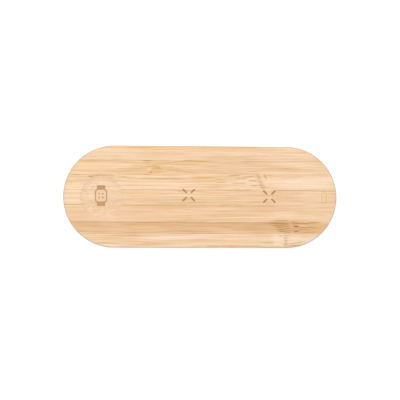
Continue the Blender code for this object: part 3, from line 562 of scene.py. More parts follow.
# strokes of a knuckle: place, half length, half width, turn, bend at the far end, strength (pale below 0)
strokes = (
    # across the second strip, left of the middle
    (-47.6, 31.7, 4.2, 0.44, -2, 0, 0.6), (-48.2, 30.2, 2.7, 0.44, -7, 0, 0.35),
    (-55.2, 27.0, 7.5, 0.31, -2, 0, 0.45), (-53.9, 25.2, 6.2, 0.31, 4, 0, 0.45),
    (-45.6, 26.3, 2.6, 0.44, -1, 0.4, 0.42), (-43.5, 23.1, 1.3, 0.4, 35, 0, 0.4),
    (-46.3, 21.9, 1.5, 0.35, -4, -0.4, 0.45), (-44.2, 21.4, 0.8, 0.44, -5, 0, 0.85),
    (-47.7, 19.5, 3.5, 0.31, 0, 0, 0.65), (-39.6, 26.5, 4.2, 0.8, -12, -0.3, 0.24),
    (-38.6, 25.0, 4.2, 0.6, -4, 0, 0.26), (-22.2, 30.5, 14.2, 0.4, 5, 0.7, 0.4),
    (-16.0, 27.1, 20.4, 0.44, -3, -0.4, -0.4), (-25.5, 25.6, 8.6, 0.4, -6, -0.4, 0.34),
    (-21.8, 23.4, 9.6, 0.44, -7, -0.4, 0.32), (-4.1, 31.6, 11.1, 0.71, 0, -0.3, 0.34),
    (10.6, 27.2, 8.0, 0.27, -1, 0, 0.6), (-36.2, 17.5, 26.4, 0.35, 0, 0, -0.45),
    (-33.6, 15.9, 20.3, 0.31, 0, 0, 0.6), (0.9, 16.9, 10.6, 0.71, 1, 0.4, 0.34),
    # above the right cross
    (29.5, 19.1, 5.3, 0.38, 3, 0, 0.75), (35.8, 16.4, 4.7, 0.36, 4, 0, 0.66),
    (16.8, 15.8, 5.3, 0.31, -2, -0.4, 0.42), (18.0, 12.8, 4.0, 0.33, 2, 0, 0.5),
    (34.0, 12.2, 6.2, 0.34, -1, -0.4, 0.62), (45.8, 14.5, 3.6, 0.48, -3, 0, 0.72),
    (47.4, 10.3, 3.0, 0.46, -2, 0, 0.55), (42.6, 18.2, 4.6, 0.38, 3, 0, 0.66),
    (52.9, 13.5, 8.5, 2.1, -62, -0.7, 0.24), (51.4, 18.5, 2.2, 0.9, -40, 0, 0.2),
    (57.2, 18.1, 2.4, 0.6, -50, -0.4, 0.56), (59.8, 19.5, 4.2, 0.31, -1, 0, 0.5),
    (52.4, 13.6, 2.3, 0.5, -6, -0.3, 0.26), (53.9, 10.8, 2.8, 0.55, -8, -0.4, 0.24),
    (55.0, 8.3, 2.0, 0.44, -10, -0.4, 0.2),
    # front right, in the sixth strip
    (55.0, -23.8, 9.4, 0.62, 2, 0, 0.2), (71.5, -20.8, 7.0, 0.44, 0, 0.3, 0.48),
    (70.0, -23.2, 7.8, 0.53, -1, -0.4, 0.62), (70.7, -25.2, 7.4, 0.36, 1, -0.9, 0.95),
    (72.8, -26.7, 6.4, 0.38, 1, -1.3, 1.0), (73.6, -28.2, 5.6, 0.38, 2, -1.6, 1.0),
    (74.2, -29.8, 4.8, 0.38, 2, -1.6, 1.0), (73.9, -25.9, 4.4, 0.27, 1, -1.2, -0.5),
    (74.5, -27.4, 4.0, 0.27, 2, -1.4, -0.5), (74.8, -29.0, 3.5, 0.27, 2, -1.5, -0.5),
    (79.9, -25.7, 6.1, 1.06, -78, 0, -0.22), (80.4, -27.7, 2.2, 0.4, -53, -0.3, 0.36),
    (81.7, -29.7, 2.0, 0.35, -6, 0, 0.45), (83.2, -22.1, 2.4, 0.8, -2, 0, 0.35),
    (86.7, -23.2, 3.5, 0.44, 6, 0, 0.6), (84.8, -25.8, 1.9, 0.6, 5, 0, 1.3),
    (90.2, -26.4, 5.0, 0.4, -2, -0.2, 0.75), (85.2, -30.2, 2.0, 0.6, -4, 0.2, 1.0),
    (92.0, -28.6, 6.4, 0.44, -2, 0, 0.55), (91.3, -25.3, 4.2, 0.35, -3, -0.2, -0.6),
    (93.7, -23.4, 3.6, 0.35, 0, 0, 0.8), (100.9, -22.3, 5.4, 0.35, 0, 0, 0.65),
    (98.7, -26.7, 5.8, 0.62, -4, 0, 0.45), (96.4, -31.0, 6.3, 0.44, 3, 0, 0.45),
    # front right, in the last strip
    (71.2, -34.3, 1.3, 0.4, -3, 0, 0.6), (75.6, -38.2, 5.7, 1.7, -89, 0, 0.15),
    (75.4, -35.9, 1.7, 0.42, -4, -0.4, 0.36), (75.2, -38.1, 1.7, 0.42, -3, -0.4, 0.36),
    (75.7, -40.0, 1.7, 0.42, 0, -0.3, 0.36), (75.3, -42.0, 1.9, 0.44, 4, 0, 0.38),
    (70.5, -38.5, 3.6, 0.31, 2, 0, -0.6), (69.8, -40.7, 3.8, 0.31, 0, 0, -0.6),
    (69.5, -39.6, 4.4, 0.27, 0, 0, 0.35), (59.8, -40.1, 5.4, 0.44, 1, 0, 0.4),
    (86.2, -39.9, 7.7, 0.44, 9, -0.4, 0.5), (83.5, -42.6, 6.7, 0.49, 5, -0.4, 0.7),
    # behind the watch
    (-97.5, 17.6, 2.3, 0.49, -2, 0, 0.85), (-89.0, 18.8, 7.0, 0.4, 3, -0.4, 0.65),
    (-109.7, 19.1, 4.1, 0.27, 0, 0, 0.55), (-79.5, 18.6, 3.3, 0.4, -4, 0, 0.55),
    (-67.0, 17.2, 6.2, 0.35, -9, 0, 0.5),
)


def strand(vector, along, across, detail=1.0, roughness=0.5):
    # noise drawn out along the plate, on both sides of zero
    return minus(noise(vector, (along, across, across), detail, roughness), 0.5)


def makeStrokeGroup():
    # adds one stroke to the running total, which travels in the vector's Z
    vectors = ["Vector", "Place", "Turn", "Size"]
    tree, given, made = newGroup("stroke", vectors, ["Bend", "Strength"], Vector="Vector")
    x, y, total = split3(given["Vector"])
    feeds = {0: given["Vector"], 1: given["Place"], 2: given["Turn"], 3: given["Size"]}
    along, across, _ = split3(grow("ShaderNodeMapping", feeds, vector_type="TEXTURE").outputs[0])
    share = timesPlus(along, 0.5, 0.5)
    bent = times(times(share, share), given["Bend"])
    ends = bell(times(along, along), 1.0)
    mask = times(bell(minus(across, bent), 1.0), ends)
    total = timesPlus(mask, given["Strength"], total)
    tree.links.new(join3(x, y, total), made["Vector"])
    return tree


def makePatchGroup():
    # a soft oval with a broad middle
    tree, given, made = newGroup("patch", ["Vector", "Place", "Size"], ["Strength"], Mask="Float")
    feeds = {"Vector": given["Vector"], "Location": given["Place"], "Scale": given["Size"]}
    x, y, _ = split3(grow("ShaderNodeMapping", feeds, vector_type="TEXTURE").outputs[0])
    sides = [bell(times(side, side), 1.0) for side in (x, y)]
    tree.links.new(times(times(*sides), given["Strength"]), made["Mask"])
    return tree


def makeKnuckleGroup():
    # how far the fibres are pushed aside round a knuckle
    floats = ["Half", "Reach", "Swell", "Ripple", "Noise"]
    tree, given, made = newGroup("knuckle", ["Vector", "Middle"], floats, Shift="Float")
    x, y, _ = split3(vectorCalc("SUBTRACT", given["Vector"], given["Middle"]))
    across = calc("DIVIDE", y, given["Half"])
    inside = ease(calc("ABSOLUTE", across), 1.05, 0.85)
    reached = times(bell(x, given["Reach"]), inside)
    swell = times(calc("SINE", times(across, math.pi)), given["Swell"])
    ripple = times(minus(given["Noise"], 0.5), given["Ripple"])
    tree.links.new(times(plus(swell, ripple), reached), made["Shift"])
    return tree


def pickStrip(index, values):
    # one value or colour for each strip
    ramp = grow("ShaderNodeValToRGB", {0: calc("DIVIDE", plus(index, 0.5), len(values))})
    ramp.color_ramp.interpolation = "CONSTANT"
    stops = ramp.color_ramp.elements
    for number, value in enumerate(values):
        stop = stops[number] if number < 2 else stops.new(number / len(values))
        stop.position = number / len(values)
        stop.color = value if isinstance(value, tuple) else (value, value, value, 1)
    return ramp.outputs[0]


def makeBambooGroup():
    b = bamboo
    tree, given, made = newGroup("bambooBoard", ["Vector"], [], Color="Color", Grain="Float")
    place = given["Vector"]
    x, y, z = split3(place)
    # the lower layer's strips lie between those of the upper one
    below = calc("LESS_THAN", z, b["layerHeight"])
    upper = minus(1.0, below)
    drift = timesPlus(strand(place, 60, 20), b["lineDrift"], y)
    edgeY = timesPlus(below, b["layerShift"], drift)
    index = 0.0
    for line in b["glueLines"]:
        index = plus(index, calc("LESS_THAN", edgeY, line))
    layerIndex = timesPlus(below, len(b["stripTones"]), index)
    # every strip is another piece of cane
    seedX, seedZ = [times(layerIndex, step) for step in b["stripSeed"]]
    own = vectorCalc("ADD", place, join3(seedX, 0.0, seedZ))
    longSway, shortSway, dishSway = b["sway"]
    sway = times(strand(own, 90, 22), longSway)
    sway = timesPlus(strand(own, 24, 6), shortSway, sway)
    # the dish is milled through the fibres, so they bow and break up in it
    away = vectorCalc("DISTANCE", join3(x, y, 0.0), (*watchPlace.xy, 0), "Value")
    inDish = times(ease(away, *b["dishEdge"]), upper)
    bowed = times(noise(place, (14, 9, 9), 1.0), dishSway)
    sway = timesPlus(inDish, bowed, sway)
    jointNoise = noise(place, (9.0, 2.6, 2.6), 1.0)
    knuckleGroup = makeKnuckleGroup()
    for middle, half, reach, swell, ripple in knuckles:
        found = useGroup(
            knuckleGroup, Vector=place, Middle=(*middle, 0), Half=half, Reach=reach, Swell=swell,
            Ripple=ripple, Noise=jointNoise,
        )
        sway = plus(sway, found["Shift"])
    bent = vectorCalc("ADD", own, join3(0.0, sway, 0.0))
    # from broad bands to single fibres
    layers = [(strand(bent, *b[name][1:]), b[name][0]) for name in ("bands", "streaks", "fibres")]
    strength, along, across = b["dashes"]
    layers.append((ease(noise(bent, (along, across, across), 1.0), 0.6, 0.74), strength))
    amount = times(*layers[0])
    for layer, strength in layers[1:]:
        amount = timesPlus(layer, strength, amount)
    amount = times(amount, pickStrip(index, b["stripGrain"]))
    mottle = strand(place, 3.0, 1.7)
    streakFade, lineFade = b["dishFade"]
    amount = times(amount, timesPlus(inDish, streakFade, 1.0))
    amount = timesPlus(times(inDish, mottle), 1.0, amount)
    amount = plus(amount, b["base"], clamp=True)
    colour = pickStrip(index, [tone(*values) for values in b["stripTones"]])
    colour = mixColour(amount, colour, b["shade"], "MULTIPLY")
    # warmer and greener clouds
    cloud = noise(bent, (34, 5, 5), 1.0)
    colour = mixColour(ease(cloud, 0.5, 0.72, 0.0, 0.28), colour, b["rose"])
    colour = mixColour(ease(cloud, 0.5, 0.3, 0.0, 0.4), colour, b["olive"])
    wobble = strand(place, 3.2, 1.2)
    drawnX, drawnY = [timesPlus(wobble, reach, side) for reach, side in zip(b["wobble"], (x, y))]
    drawn = join3(drawnX, drawnY, 0.0)
    for middle, size, values, strength in patches:
        middle, size = (*middle, 0), (*size, 1)
        mask = useGroup(patchGroup, Vector=drawn, Place=middle, Size=size, Strength=strength)
        colour = mixColour(times(mask["Mask"], upper), colour, values)
    # glue lines, strokes of the knuckles, the line between the layers, the shade painted on the dish's left
    # edge, and darker lines along the long edges
    patchy = ease(noise(own, (12, 60, 60), 1.0), 0.25, 0.6, 0.55, 1.0)
    patchy = times(patchy, timesPlus(inDish, lineFade, 1.0))
    width, strength = b["layerLine"]
    total = times(bell(minus(z, b["layerHeight"]), width), strength)
    # painted shade: a darker line on the dish's left edge, where its wall turns from the light
    radius, width, strength = b["dishShadeRing"]
    ring = times(bell(minus(away, radius), width), upper)
    ring = times(ring, ease(x, *b["dishShadeRingFrom"]))
    total = timesPlus(ring, strength, total)
    fade = b["seamFade"]
    # glue lines, and darker lines along the rounded long edges, those at the front painted shade
    for across, start, stop, width, strength in seamsAndEdgeShade:
        length = times(ease(x, start - fade, start + fade), ease(x, stop + fade, stop - fade))
        line = times(bell(minus(edgeY, across), width), strength)
        total = timesPlus(times(line, length), patchy, total)
    strokeGroup = makeStrokeGroup()
    for across, up, half, width, turn, bend, strength in strokes:
        drawn = useGroup(
            strokeGroup, Vector=drawn, Place=(across, up, 0), Turn=(0, 0, math.radians(turn)),
            Size=(half, width, 1), Bend=bend / width, Strength=strength,
        )["Vector"]
    total = timesPlus(split3(drawn)[2], upper, total)
    colour = mixColour(times(total, 1.0, clamp=True), colour, b["joint"])
    colour = mixColour(times(total, -1.0, clamp=True), colour, b["pale"])
    # sawn edges are darker, most of all where the fibres end
    corner = boxOf("bamboo_housing")[1]
    over = calc("MAXIMUM", minus(calc("ABSOLUTE", x), corner.x - corner.y), 0.0)
    out = calc("SQRT", timesPlus(over, over, times(y, y)))
    cut = times(ease(out, *b["sawnFrom"]), timesPlus(over, *b["sawnEnds"]))
    colour = mixColour(cut, colour, b["sawn"])
    # painted shade and reflection: a pale grey line on the rounded top edge, growing round the ends
    rim = times(ease(out, *b["rimShadeFrom"]), ease(z, *b["rimShadeHeight"]))
    rim = times(rim, ease(over, *b["rimShadeEnds"]))
    tree.links.new(mixColour(rim, colour, b["rim"]), made["Color"])
    tree.links.new(amount, made["Grain"])
    return tree


patchGroup = makePatchGroup()
bambooGroup = makeBambooGroup()


def makeBamboo(name, roughness, burn=None):
    material, tree, shader = newMaterial(name, Specular_IOR_Level=0.35)
    wood = useGroup(bambooGroup, Vector=millimetres(tree))
    colour = wood["Color"]
    if burn:
        colour = mixColour(1.0, colour, burn, "MULTIPLY")
    dress(shader, colour, ease(wood["Grain"], 0.0, 1.0, roughness - 0.05, roughness + 0.08))
    addBump(shader, minus(1.0, wood["Grain"]), 0.03, 0.5)
    return material


def makeWindowMaterial():
    # frosted plastic in the tone of the wood
    material, tree, shader = newMaterial("frostedWindow", Specular_IOR_Level=0.4)
    spot = millimetres(tree, windowPlace)
    grain = useGroup(speckleGroup, Vector=spot, Size=3.0, Amount=2.0)
    colour = mixColour(grain["Mask"], (237, 199, 156), (243, 207, 165))
    dress(shader, colour, ease(grain["Mask"], 0, 1, 0.5, 0.38))
    addBump(shader, grain["Height"], 0.01, 0.5)
    return material


windowMaterial = makeWindowMaterial()
bambooMaterial = makeBamboo("bambooBoard", 0.5)
scorchedMaterial = makeBamboo("scorchedBamboo", 0.75, (204, 182, 152))
toastedMaterial = makeBamboo("toastedBamboo", 0.7, (216, 196, 165))
print("bamboo ready")

# the housing, milled from the board
low, high = boxOf("bamboo_housing")
plate = {
    "halfLength": high.x,
    "halfWidth": high.y,
    "bottom": low.z,
    "top": high.z,
    "arcSteps": 72,
    "rounding": 1.2,
    "rim": 4.0,
    "rimBevel": 0.2,
    "ledge": 2.5,
    "ledgeHeight": 3.6,
    "ceiling": 10.1,
    "bossRoot": 0.5,  # how deep the bosses reach into the ceiling
    "coverBoss": 4.0,
    "coverBore": (1.3, 8.6, 9.2),  # radius, end of its wall, tip
    "boardBoss": (2.8, 7.7),  # radius and underside
    "boardBore": (1.1, 9.8, 5.0),  # radius and both ends
    "windowHole": (9.9, 4.4),
    "portHole": (9.6, 3.9, 37.0, 46.0),  # length, width and both ends
}
dish = {"radius": 18.85, "floor": 13.0, "depth": 0.9, "rings": 9, "sides": 96}


def addDish(shape):
    # flat floor, and a rim that curves up to the face
    run = dish["radius"] - dish["floor"]
    profile = [(0, overrun), (dish["radius"], overrun)]
    for ring in range(dish["rings"], -1, -1):
        share = ring / dish["rings"]
        profile.append((dish["floor"] + run * share, dish["depth"] * (share**2 - 1)))
    profile.append((0, -dish["depth"]))
    addTurned(shape, profile, (*watchPlace.xy, plate["top"]), dish["sides"])


def makeHousing():
    p = plate
    wall = p["rim"] + p["ledge"]
    profile = roundingOf(p["rounding"], 0, p["top"], True, 6)
    profile += reversed(roundingOf(p["rounding"], 0, p["bottom"], False, 4))
    profile += [(p["rim"] - p["rimBevel"], p["bottom"]), (p["rim"], p["bottom"] + p["rimBevel"])]
    profile += [(p["rim"], p["ledgeHeight"]), (wall, p["ledgeHeight"]), (wall, p["ceiling"])]
    shape = stadium(profile, p["halfLength"], p["halfWidth"], p["arcSteps"])
    housing = makePiece("bamboo_plate", shape, bambooMaterial)
    bosses, holes = bmesh.new(), bmesh.new()
    root = p["ceiling"] + p["bossRoot"]
    for spot in coverScrews:
        addRod(bosses, p["coverBoss"], root, p["ledgeHeight"], spot, 32)
        radius, end, tip = p["coverBore"]
        addTurned(holes, [(0, tip), (radius, end), (radius, 0), (0, 0)], spot, 24)
    for spot in boardScrews:
        radius, underside = p["boardBoss"]
        addRod(bosses, radius, root, underside, spot, 32)
        addRod(holes, *p["boardBore"], spot, 24)
    weld(housing, bosses, bambooMaterial)
    addDish(holes)
    spot = (windowPlace.x, 0, 0)
    addPill(holes, *p["windowHole"], p["ceiling"] - overrun, p["top"] + overrun, centre=spot, turn=90)
    addPill(holes, *p["portHole"], centre=(portPlace.x, 0, portPlace.z), tilt=-90)
    carve(housing, holes, bambooMaterial)
    return housing


# marks burnt into the face: a watch, and a cross of four dashes on each place for a phone
marks = {
    "depth": 0.25,
    "above": 0.6,  # how far a cutter in the dish stands above its floor
    "crossesAt": ((-10.75, 1.56), (60.78, 0.53)),
    "dash": (4.9, 1.5, 0.45),  # length, width and corner
    "dashReach": 5.05,  # from the middle of a cross to the middle of a dash
    "watchAt": (-88.0, 0.6),
    "case": (10.6, 12.1),
    "caseLine": 0.9,
    "caseCorners": (2.7, 2.16),
    "strap": (7.4, 3.4, 0.5),
    "strapTuck": 0.4,  # how far a strap runs into the case
    "smallDash": (1.9, 0.9, 0.27),
    "smallReach": 2.35,
}


def addCross(shape, middle, dash, reach, low, high):
    for turn in (45, 135, 225, 315):
        angle = math.radians(turn)
        centre = (middle[0] + reach * math.cos(angle), middle[1] + reach * math.sin(angle), 0)
        addPanel(shape, *dash, low, high, 3, centre=centre, turn=turn)


def burnMarks(housing):
    m = marks
    face, small, outer, inner = bmesh.new(), bmesh.new(), bmesh.new(), bmesh.new()
    low, high = plate["top"] - m["depth"], plate["top"] + overrun
    for middle in m["crossesAt"]:
        addCross(face, middle, m["dash"], m["dashReach"], low, high)
    # the watch is burnt into the dish's floor, its rear strap the darkest
    floor = plate["top"] - dish["depth"]
    low, high = floor - m["depth"], floor + m["above"]
    addCross(small, m["watchAt"], m["smallDash"], m["smallReach"], low, high)
    width, height = m["case"]
    reach = (height + m["strap"][1]) / 2 - m["strapTuck"]
    for side, shape in ((-1, small), (1, face)):
        spot = (m["watchAt"][0], m["watchAt"][1] + side * reach, 0)
        addPanel(shape, *m["strap"], low, high, 3, centre=spot)
    line, corners, spot = 2 * m["caseLine"], m["caseCorners"], (*m["watchAt"], 0)
    addPanel(outer, width, height, corners[0], low, high, 8, centre=spot)
    addPanel(inner, width - line, height - line, corners[1], low - overrun, high + overrun, 8, centre=spot)
    ring = makePiece("caseLine", outer, toastedMaterial)
    carve(ring, inner, toastedMaterial)
    dark = makePiece("darkMarks", face, scorchedMaterial)
    light = makePiece("lightMarks", small, toastedMaterial)
    combine(housing, "DIFFERENCE", dark, light, ring)


housing = makeHousing()
burnMarks(housing)
standIn(housing, "bamboo", "bamboo_housing")
print("housing ready,", len(housing.data.polygons), "faces")

# the light's window, nearly flush with the face
window = {
    "length": 9.7,
    "width": 4.2,
    "edge": 0.18,
    "flange": 1.0,
    "flangeHeight": 0.8,
    "root": 0.4,  # how deep the window reaches into its flange
}


def makeWindow():
    w = window
    low, high = boxOf("light_window")
    place = {"steps": 12, "centre": (windowPlace.x, 0, 0), "turn": 90}
    lens, flange = bmesh.new(), bmesh.new()
    flangeTop = low.z + w["flangeHeight"]
    addPill(lens, w["length"], w["width"], flangeTop - w["root"], high.z, **place)
    softenEdges(lens, 2, high.z, w["edge"], 3)
    addPill(flange, w["length"] + 2 * w["flange"], w["width"] + 2 * w["flange"], low.z, flangeTop, **place)
    piece = makePiece("light_lens", lens, windowMaterial)
    weld(piece, flange, windowMaterial)
    standIn(piece, "light_plastic", "light_window")


# charging port: drawn steel shell, moulding with its tongue, and the contacts on it
port = {
    "size": (9.0, 3.3),
    "wall": 0.3,
    "edge": 0.1,
    "rear": 33.9,
    "mouth": 44.4,
    "socket": 6.2,
    "fit": 0.1,  # between the shell and the moulding
    "tabs": (13.0, 2.4, 0.5),
    "tabHeight": (7.7, 8.0),
    "spring": (1.1, 2.6, 0.2),
    "springAt": (2.0, 3.6),  # from the middle, and from the mouth
    "springHeight": (0.5, 3.0),  # above the middle
    "tongue": (6.7, 0.7),
    "tongueCorner": 0.5,
    "tongueSpan": (36.0, 43.6),
    "tongueEdge": 0.12,
    "contact": (0.26, 4.6, 0.08),
    "contactProud": 0.03,
    "contactRow": (12, 0.5),  # how many, and from one to the next
    "contactSetback": 0.7,
}
portWay = {"steps": 10, "centre": (portPlace.x, 0, portPlace.z), "tilt": -90}


def makeShell():
    p = port
    length, width = p["size"]
    shell, tabs, bore = bmesh.new(), bmesh.new(), bmesh.new()
    addPill(shell, length, width, p["rear"], p["mouth"], **portWay)
    softenEdges(shell, 1, p["mouth"], p["edge"], 3)
    piece = makePiece("port_sleeve", shell, portMaterial)
    addPanel(tabs, *p["tabs"], *p["tabHeight"], centre=(portPlace.x, p["rear"] + p["tabs"][1] / 2, 0))
    weld(piece, tabs, portMaterial)
    inner = (length - 2 * p["wall"], width - 2 * p["wall"])
    addPill(bore, *inner, p["rear"] - overrun, p["mouth"] + overrun, **portWay)
    # sprung windows in the sleeve's upper side
    low, high = [portPlace.z + height for height in p["springHeight"]]
    for side in (-1, 1):
        spot = (portPlace.x + side * p["springAt"][0], p["mouth"] - p["springAt"][1], 0)
        addPanel(bore, *p["spring"], low, high, centre=spot)
    carve(piece, bore, portMaterial)
    standIn(piece, "port_steel", "port_shell")


def makeTongue():
    p = port
    plug, tongue = bmesh.new(), bmesh.new()
    length, width = [side - 2 * p["wall"] - 2 * p["fit"] for side in p["size"]]
    addPill(plug, length, width, p["rear"], p["mouth"] - p["socket"], **portWay)
    start, tip = p["tongueSpan"]
    wide, thick = p["tongue"]
    low, high = portPlace.z - thick / 2, portPlace.z + thick / 2
    spot = (portPlace.x, (start + tip) / 2, 0)
    addPanel(tongue, wide, tip - start, p["tongueCorner"], low, high, centre=spot)
    softenEdges(tongue, 1, tip - p["tongueCorner"], p["tongueEdge"], 2, flatOnly=True)
    piece = makePiece("port_tongue", plug, blackMaterial)
    weld(piece, tongue, blackMaterial)
    standIn(piece, "black_plastic", "port_moulding")


def makeContacts():
    p = port
    strips = bmesh.new()
    y = p["tongueSpan"][1] - p["contactSetback"] - p["contact"][1] / 2
    for x in rowOf(*p["contactRow"]):
        for side in (-1, 1):
            face = portPlace.z + side * p["tongue"][1] / 2
            low, high = face - p["contactProud"], face + p["contactProud"]
            addPanel(strips, *p["contact"], low, high, 2, centre=(x, y, 0))
    piece = makePiece("port_contacts", strips, contactMaterial)
    standIn(piece, "coil_copper")


# bottom cover
cover = {
    "inset": 4.3,
    "rounding": 0.4,
    "bottom": 1.3,
    "top": 3.3,
    "lip": (6.8, 8.0, 4.3),  # outer inset, inner inset, top
    "lipBevel": 0.2,
    "bossRoom": 4.3,  # radius that the lip leaves free round a boss
    "hole": 1.3,
    "head": (2.5, 1.3, 0.15),  # radius, depth and bevel of a recess for a screw's head
    "recess": (6.3, 0.6, 0.1),  # the same for a foot
    "vent": (18.0, 1.4),
    "ventRow": (9, 3.2),
    "label": (50.0, 28.0, 2.0),
    "labelDepth": 0.2,
}


def addRecess(shape, bored, radius, depth, edge, centre, sides):
    # what is bored above, and a round recess with a bevelled edge in the cover's underside
    bottom = cover["bottom"]
    profile = [*bored, (radius, bottom + depth), (radius, bottom + edge), (radius + edge, bottom)]
    addTurned(shape, [*profile, (radius + edge, bottom - overrun), (0, bottom - overrun)], centre, sides)


def makeCover():
    c = cover
    top, bevel = c["top"], c["lipBevel"]
    outer, inner, lipTop = c["lip"]
    profile = roundingOf(c["rounding"], c["inset"], c["bottom"], False, 3)
    profile += reversed(roundingOf(c["rounding"], c["inset"], top, True, 3))
    profile += [(outer, top), (outer, lipTop - bevel), (outer + bevel, lipTop)]
    profile += [(inner - bevel, lipTop), (inner, lipTop - bevel), (inner, top)]
    shape = stadium(profile, plate["halfLength"], plate["halfWidth"], plate["arcSteps"])
    piece = makePiece("cover_plate", shape, coverMaterial)
    holes = bmesh.new()
    low, high = top + near, lipTop + overrun
    bored = [(0, high), (c["bossRoom"], high), (c["bossRoom"], low), (c["hole"], low)]
    bored.append((c["hole"], c["bottom"] + c["head"][1]))
    for spot in coverScrews:
        addRecess(holes, bored, *c["head"], spot, 32)
    bored = [(0, c["bottom"] + c["recess"][1])]
    for spot in feet:
        addRecess(holes, bored, *c["recess"], spot, 48)
    below = c["bottom"] - overrun
    for x in rowOf(*c["ventRow"]):
        addPill(holes, *c["vent"], below, top + overrun, 5, centre=(x, 0, 0), turn=90)
    addPanel(holes, *c["label"], below, c["bottom"] + c["labelDepth"], 6, centre=(labelPlace.x, 0, 0))
    carve(piece, holes, coverMaterial)
    standIn(piece, "cover_plastic", "bottom_cover")


# feet and screws
foot = {
    "radius": 6.0,
    "top": 1.6,
    "edge": 0.1,
    "rounding": 0.45,
    "groove": (3.6, 0.35, 0.12),  # radius of its middle, half width and depth
}


def makeFoot(number, spot):
    radius, top, edge = foot["radius"], foot["top"], foot["edge"]
    middle, half, depth = foot["groove"]
    profile = [(0, top), (radius - edge, top), (radius, top - edge)]
    rounding = reversed(roundingOf(foot["rounding"], 0, 0, False, 4))
    profile += [(radius - inset, height) for inset, height in rounding]
    profile += [(middle + half, 0), (middle + half / 2, depth), (middle - half / 2, depth)]
    shape = bmesh.new()
    addTurned(shape, [*profile, (middle - half, 0), (0, 0)], spot, 64)
    piece = makePiece(f"rubber_foot_{number}", shape, rubberMaterial)
    standIn(piece, "foot_rubber", f"foot_{number}", angle=35)


screw = {
    "head": 2.2,
    "headLow": 1.5,
    "headEdge": 0.2,
    "seat": 2.3,
    "seatEdge": 0.1,
    "neck": 0.3,
    "shank": 1.0,
    "pitch": 0.55,
    "core": 0.78,  # radius at the bottom of the thread
    "tip": 8.3,
    "point": 1.0,
    "cross": (2.6, 0.62, 0.15),
    "crossDepth": 0.48,
    "crossTurns": (20, 110),
}


def makeScrew(number, spot):
    # flat head with a cross recess, and a cut thread that ends in a point
    s = screw
    head, low, seat = s["head"], s["headLow"], s["seat"]
    profile = [(0, s["tip"])]
    height = s["tip"] - s["point"]
    while height - s["pitch"] > seat + s["neck"]:
        profile += [(s["shank"], height), (s["core"], height - s["pitch"] / 2)]
        height -= s["pitch"]
    profile += [(s["shank"], height), (s["shank"], seat)]
    profile += [(head - s["seatEdge"], seat), (head, seat - s["seatEdge"])]
    profile += [(head, low + s["headEdge"]), (head - s["headEdge"], low), (0, low)]
    shape = bmesh.new()
    addTurned(shape, profile, spot, 32)
    piece = makePiece(f"flat_screw_{number}", shape, screwMaterial)
    for turn in s["crossTurns"]:
        bar = bmesh.new()
        addPanel(bar, *s["cross"], low - overrun, low + s["crossDepth"], 2, centre=spot, turn=turn)
        carve(piece, bar, screwMaterial)
    standIn(piece, "screw_steel", f"cover_screw_{number}", angle=35)


makeWindow()
makeShell()
makeTongue()
makeContacts()
makeCover()
for number, spot in enumerate(feet, 1):
    makeFoot(number, spot)
for number, spot in enumerate(coverScrews, 1):
    makeScrew(number, spot)
print("window, port, cover, feet and screws ready")


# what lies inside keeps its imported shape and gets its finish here
def paint(material, *words):
    # each node that has one of the words in its name
    found = [node for name, node in nodes.items() if any(word in name for word in words)]
    for place in [place for node in found for place in node.material_slots]:
        place.material = material


board = {"pitches": (0.9, 1.1), "copper": 0.36}  # from track to track in X and Y, and a track's share


def makeBoardMaterial():
    # solder mask over copper tracks, which show as paler lines along or across
    material, tree, shader = newMaterial("boardLaminate")
    spot = millimetres(tree)
    x, y, _ = split3(spot)
    zone = noise(spot, (6, 6, 30), 0.0)
    across, along = [
        calc("LESS_THAN", calc("FRACT", calc("DIVIDE", side, pitch)), board["copper"])
        for side, pitch in zip((x, y), board["pitches"])
    ]
    pick = calc("GREATER_THAN", zone, 0.5)
    other = times(minus(1.0, pick), along)
    tracks = plus(times(pick, across), other)
    grain = useGroup(speckleGroup, Vector=spot, Size=4.0, Amount=2.0)
    base = mixColour(grain["Mask"], (14, 88, 48), (20, 100, 56))
    colour = mixColour(tracks, base, (38, 126, 74))
    dress(shader, colour, ease(grain["Mask"], 0, 1, 0.3, 0.42))
    addBump(shader, tracks, 0.03, 0.5)
    return material


def makeWireMaterial():
    # enamelled copper, a little darker where the enamel is thick
    shine = {"Metallic": 1.0, "Coat_Weight": 0.6, "Coat_Roughness": 0.12}
    material, tree, shader = newMaterial("enamelledCopper", **shine)
    cloud = noise(millimetres(tree), (5, 5, 1), 3.0)
    colour = mixColour(cloud, (186, 96, 50), (222, 142, 88))
    dress(shader, colour, ease(cloud, 0.2, 0.8, 0.24, 0.38))
    return material


tinned = 1.1  # length of a capacitor's tinned ends


def makeCapacitor(name):
    # fired body with tinned ends
    low, high = boxOf(name)
    material, tree, shader = newMaterial(name + "Ceramic")
    spot = millimetres(tree, middleOf(name))
    y = split3(spot)[1]
    ends = calc("GREATER_THAN", calc("ABSOLUTE", y), (high.y - low.y) / 2 - tinned)
    grain = useGroup(speckleGroup, Vector=spot, Size=8.0, Amount=3.0)
    body = mixColour(grain["Mask"], (142, 110, 74), (164, 130, 92))
    colour = mixColour(ends, body, (196, 197, 200))
    tree.links.new(ends, shader["Metallic"])
    dress(shader, colour, ease(grain["Mask"], 0, 1, 0.36, 0.5))
    return material


def makeLampMaterial():
    # clear resin over a yellow phosphor
    material, tree, shader = newMaterial("lampResin")
    spot = millimetres(tree, middleOf("lamp"))
    away = grow("ShaderNodeVectorMath", {0: spot}, operation="LENGTH").outputs["Value"]
    colour = mixColour(ease(away, 0.7, 1.3), (240, 205, 92), (238, 236, 228))
    dress(shader, colour, ease(noise(spot, (1, 1, 1)), 0.3, 0.7, 0.25, 0.4))
    return material


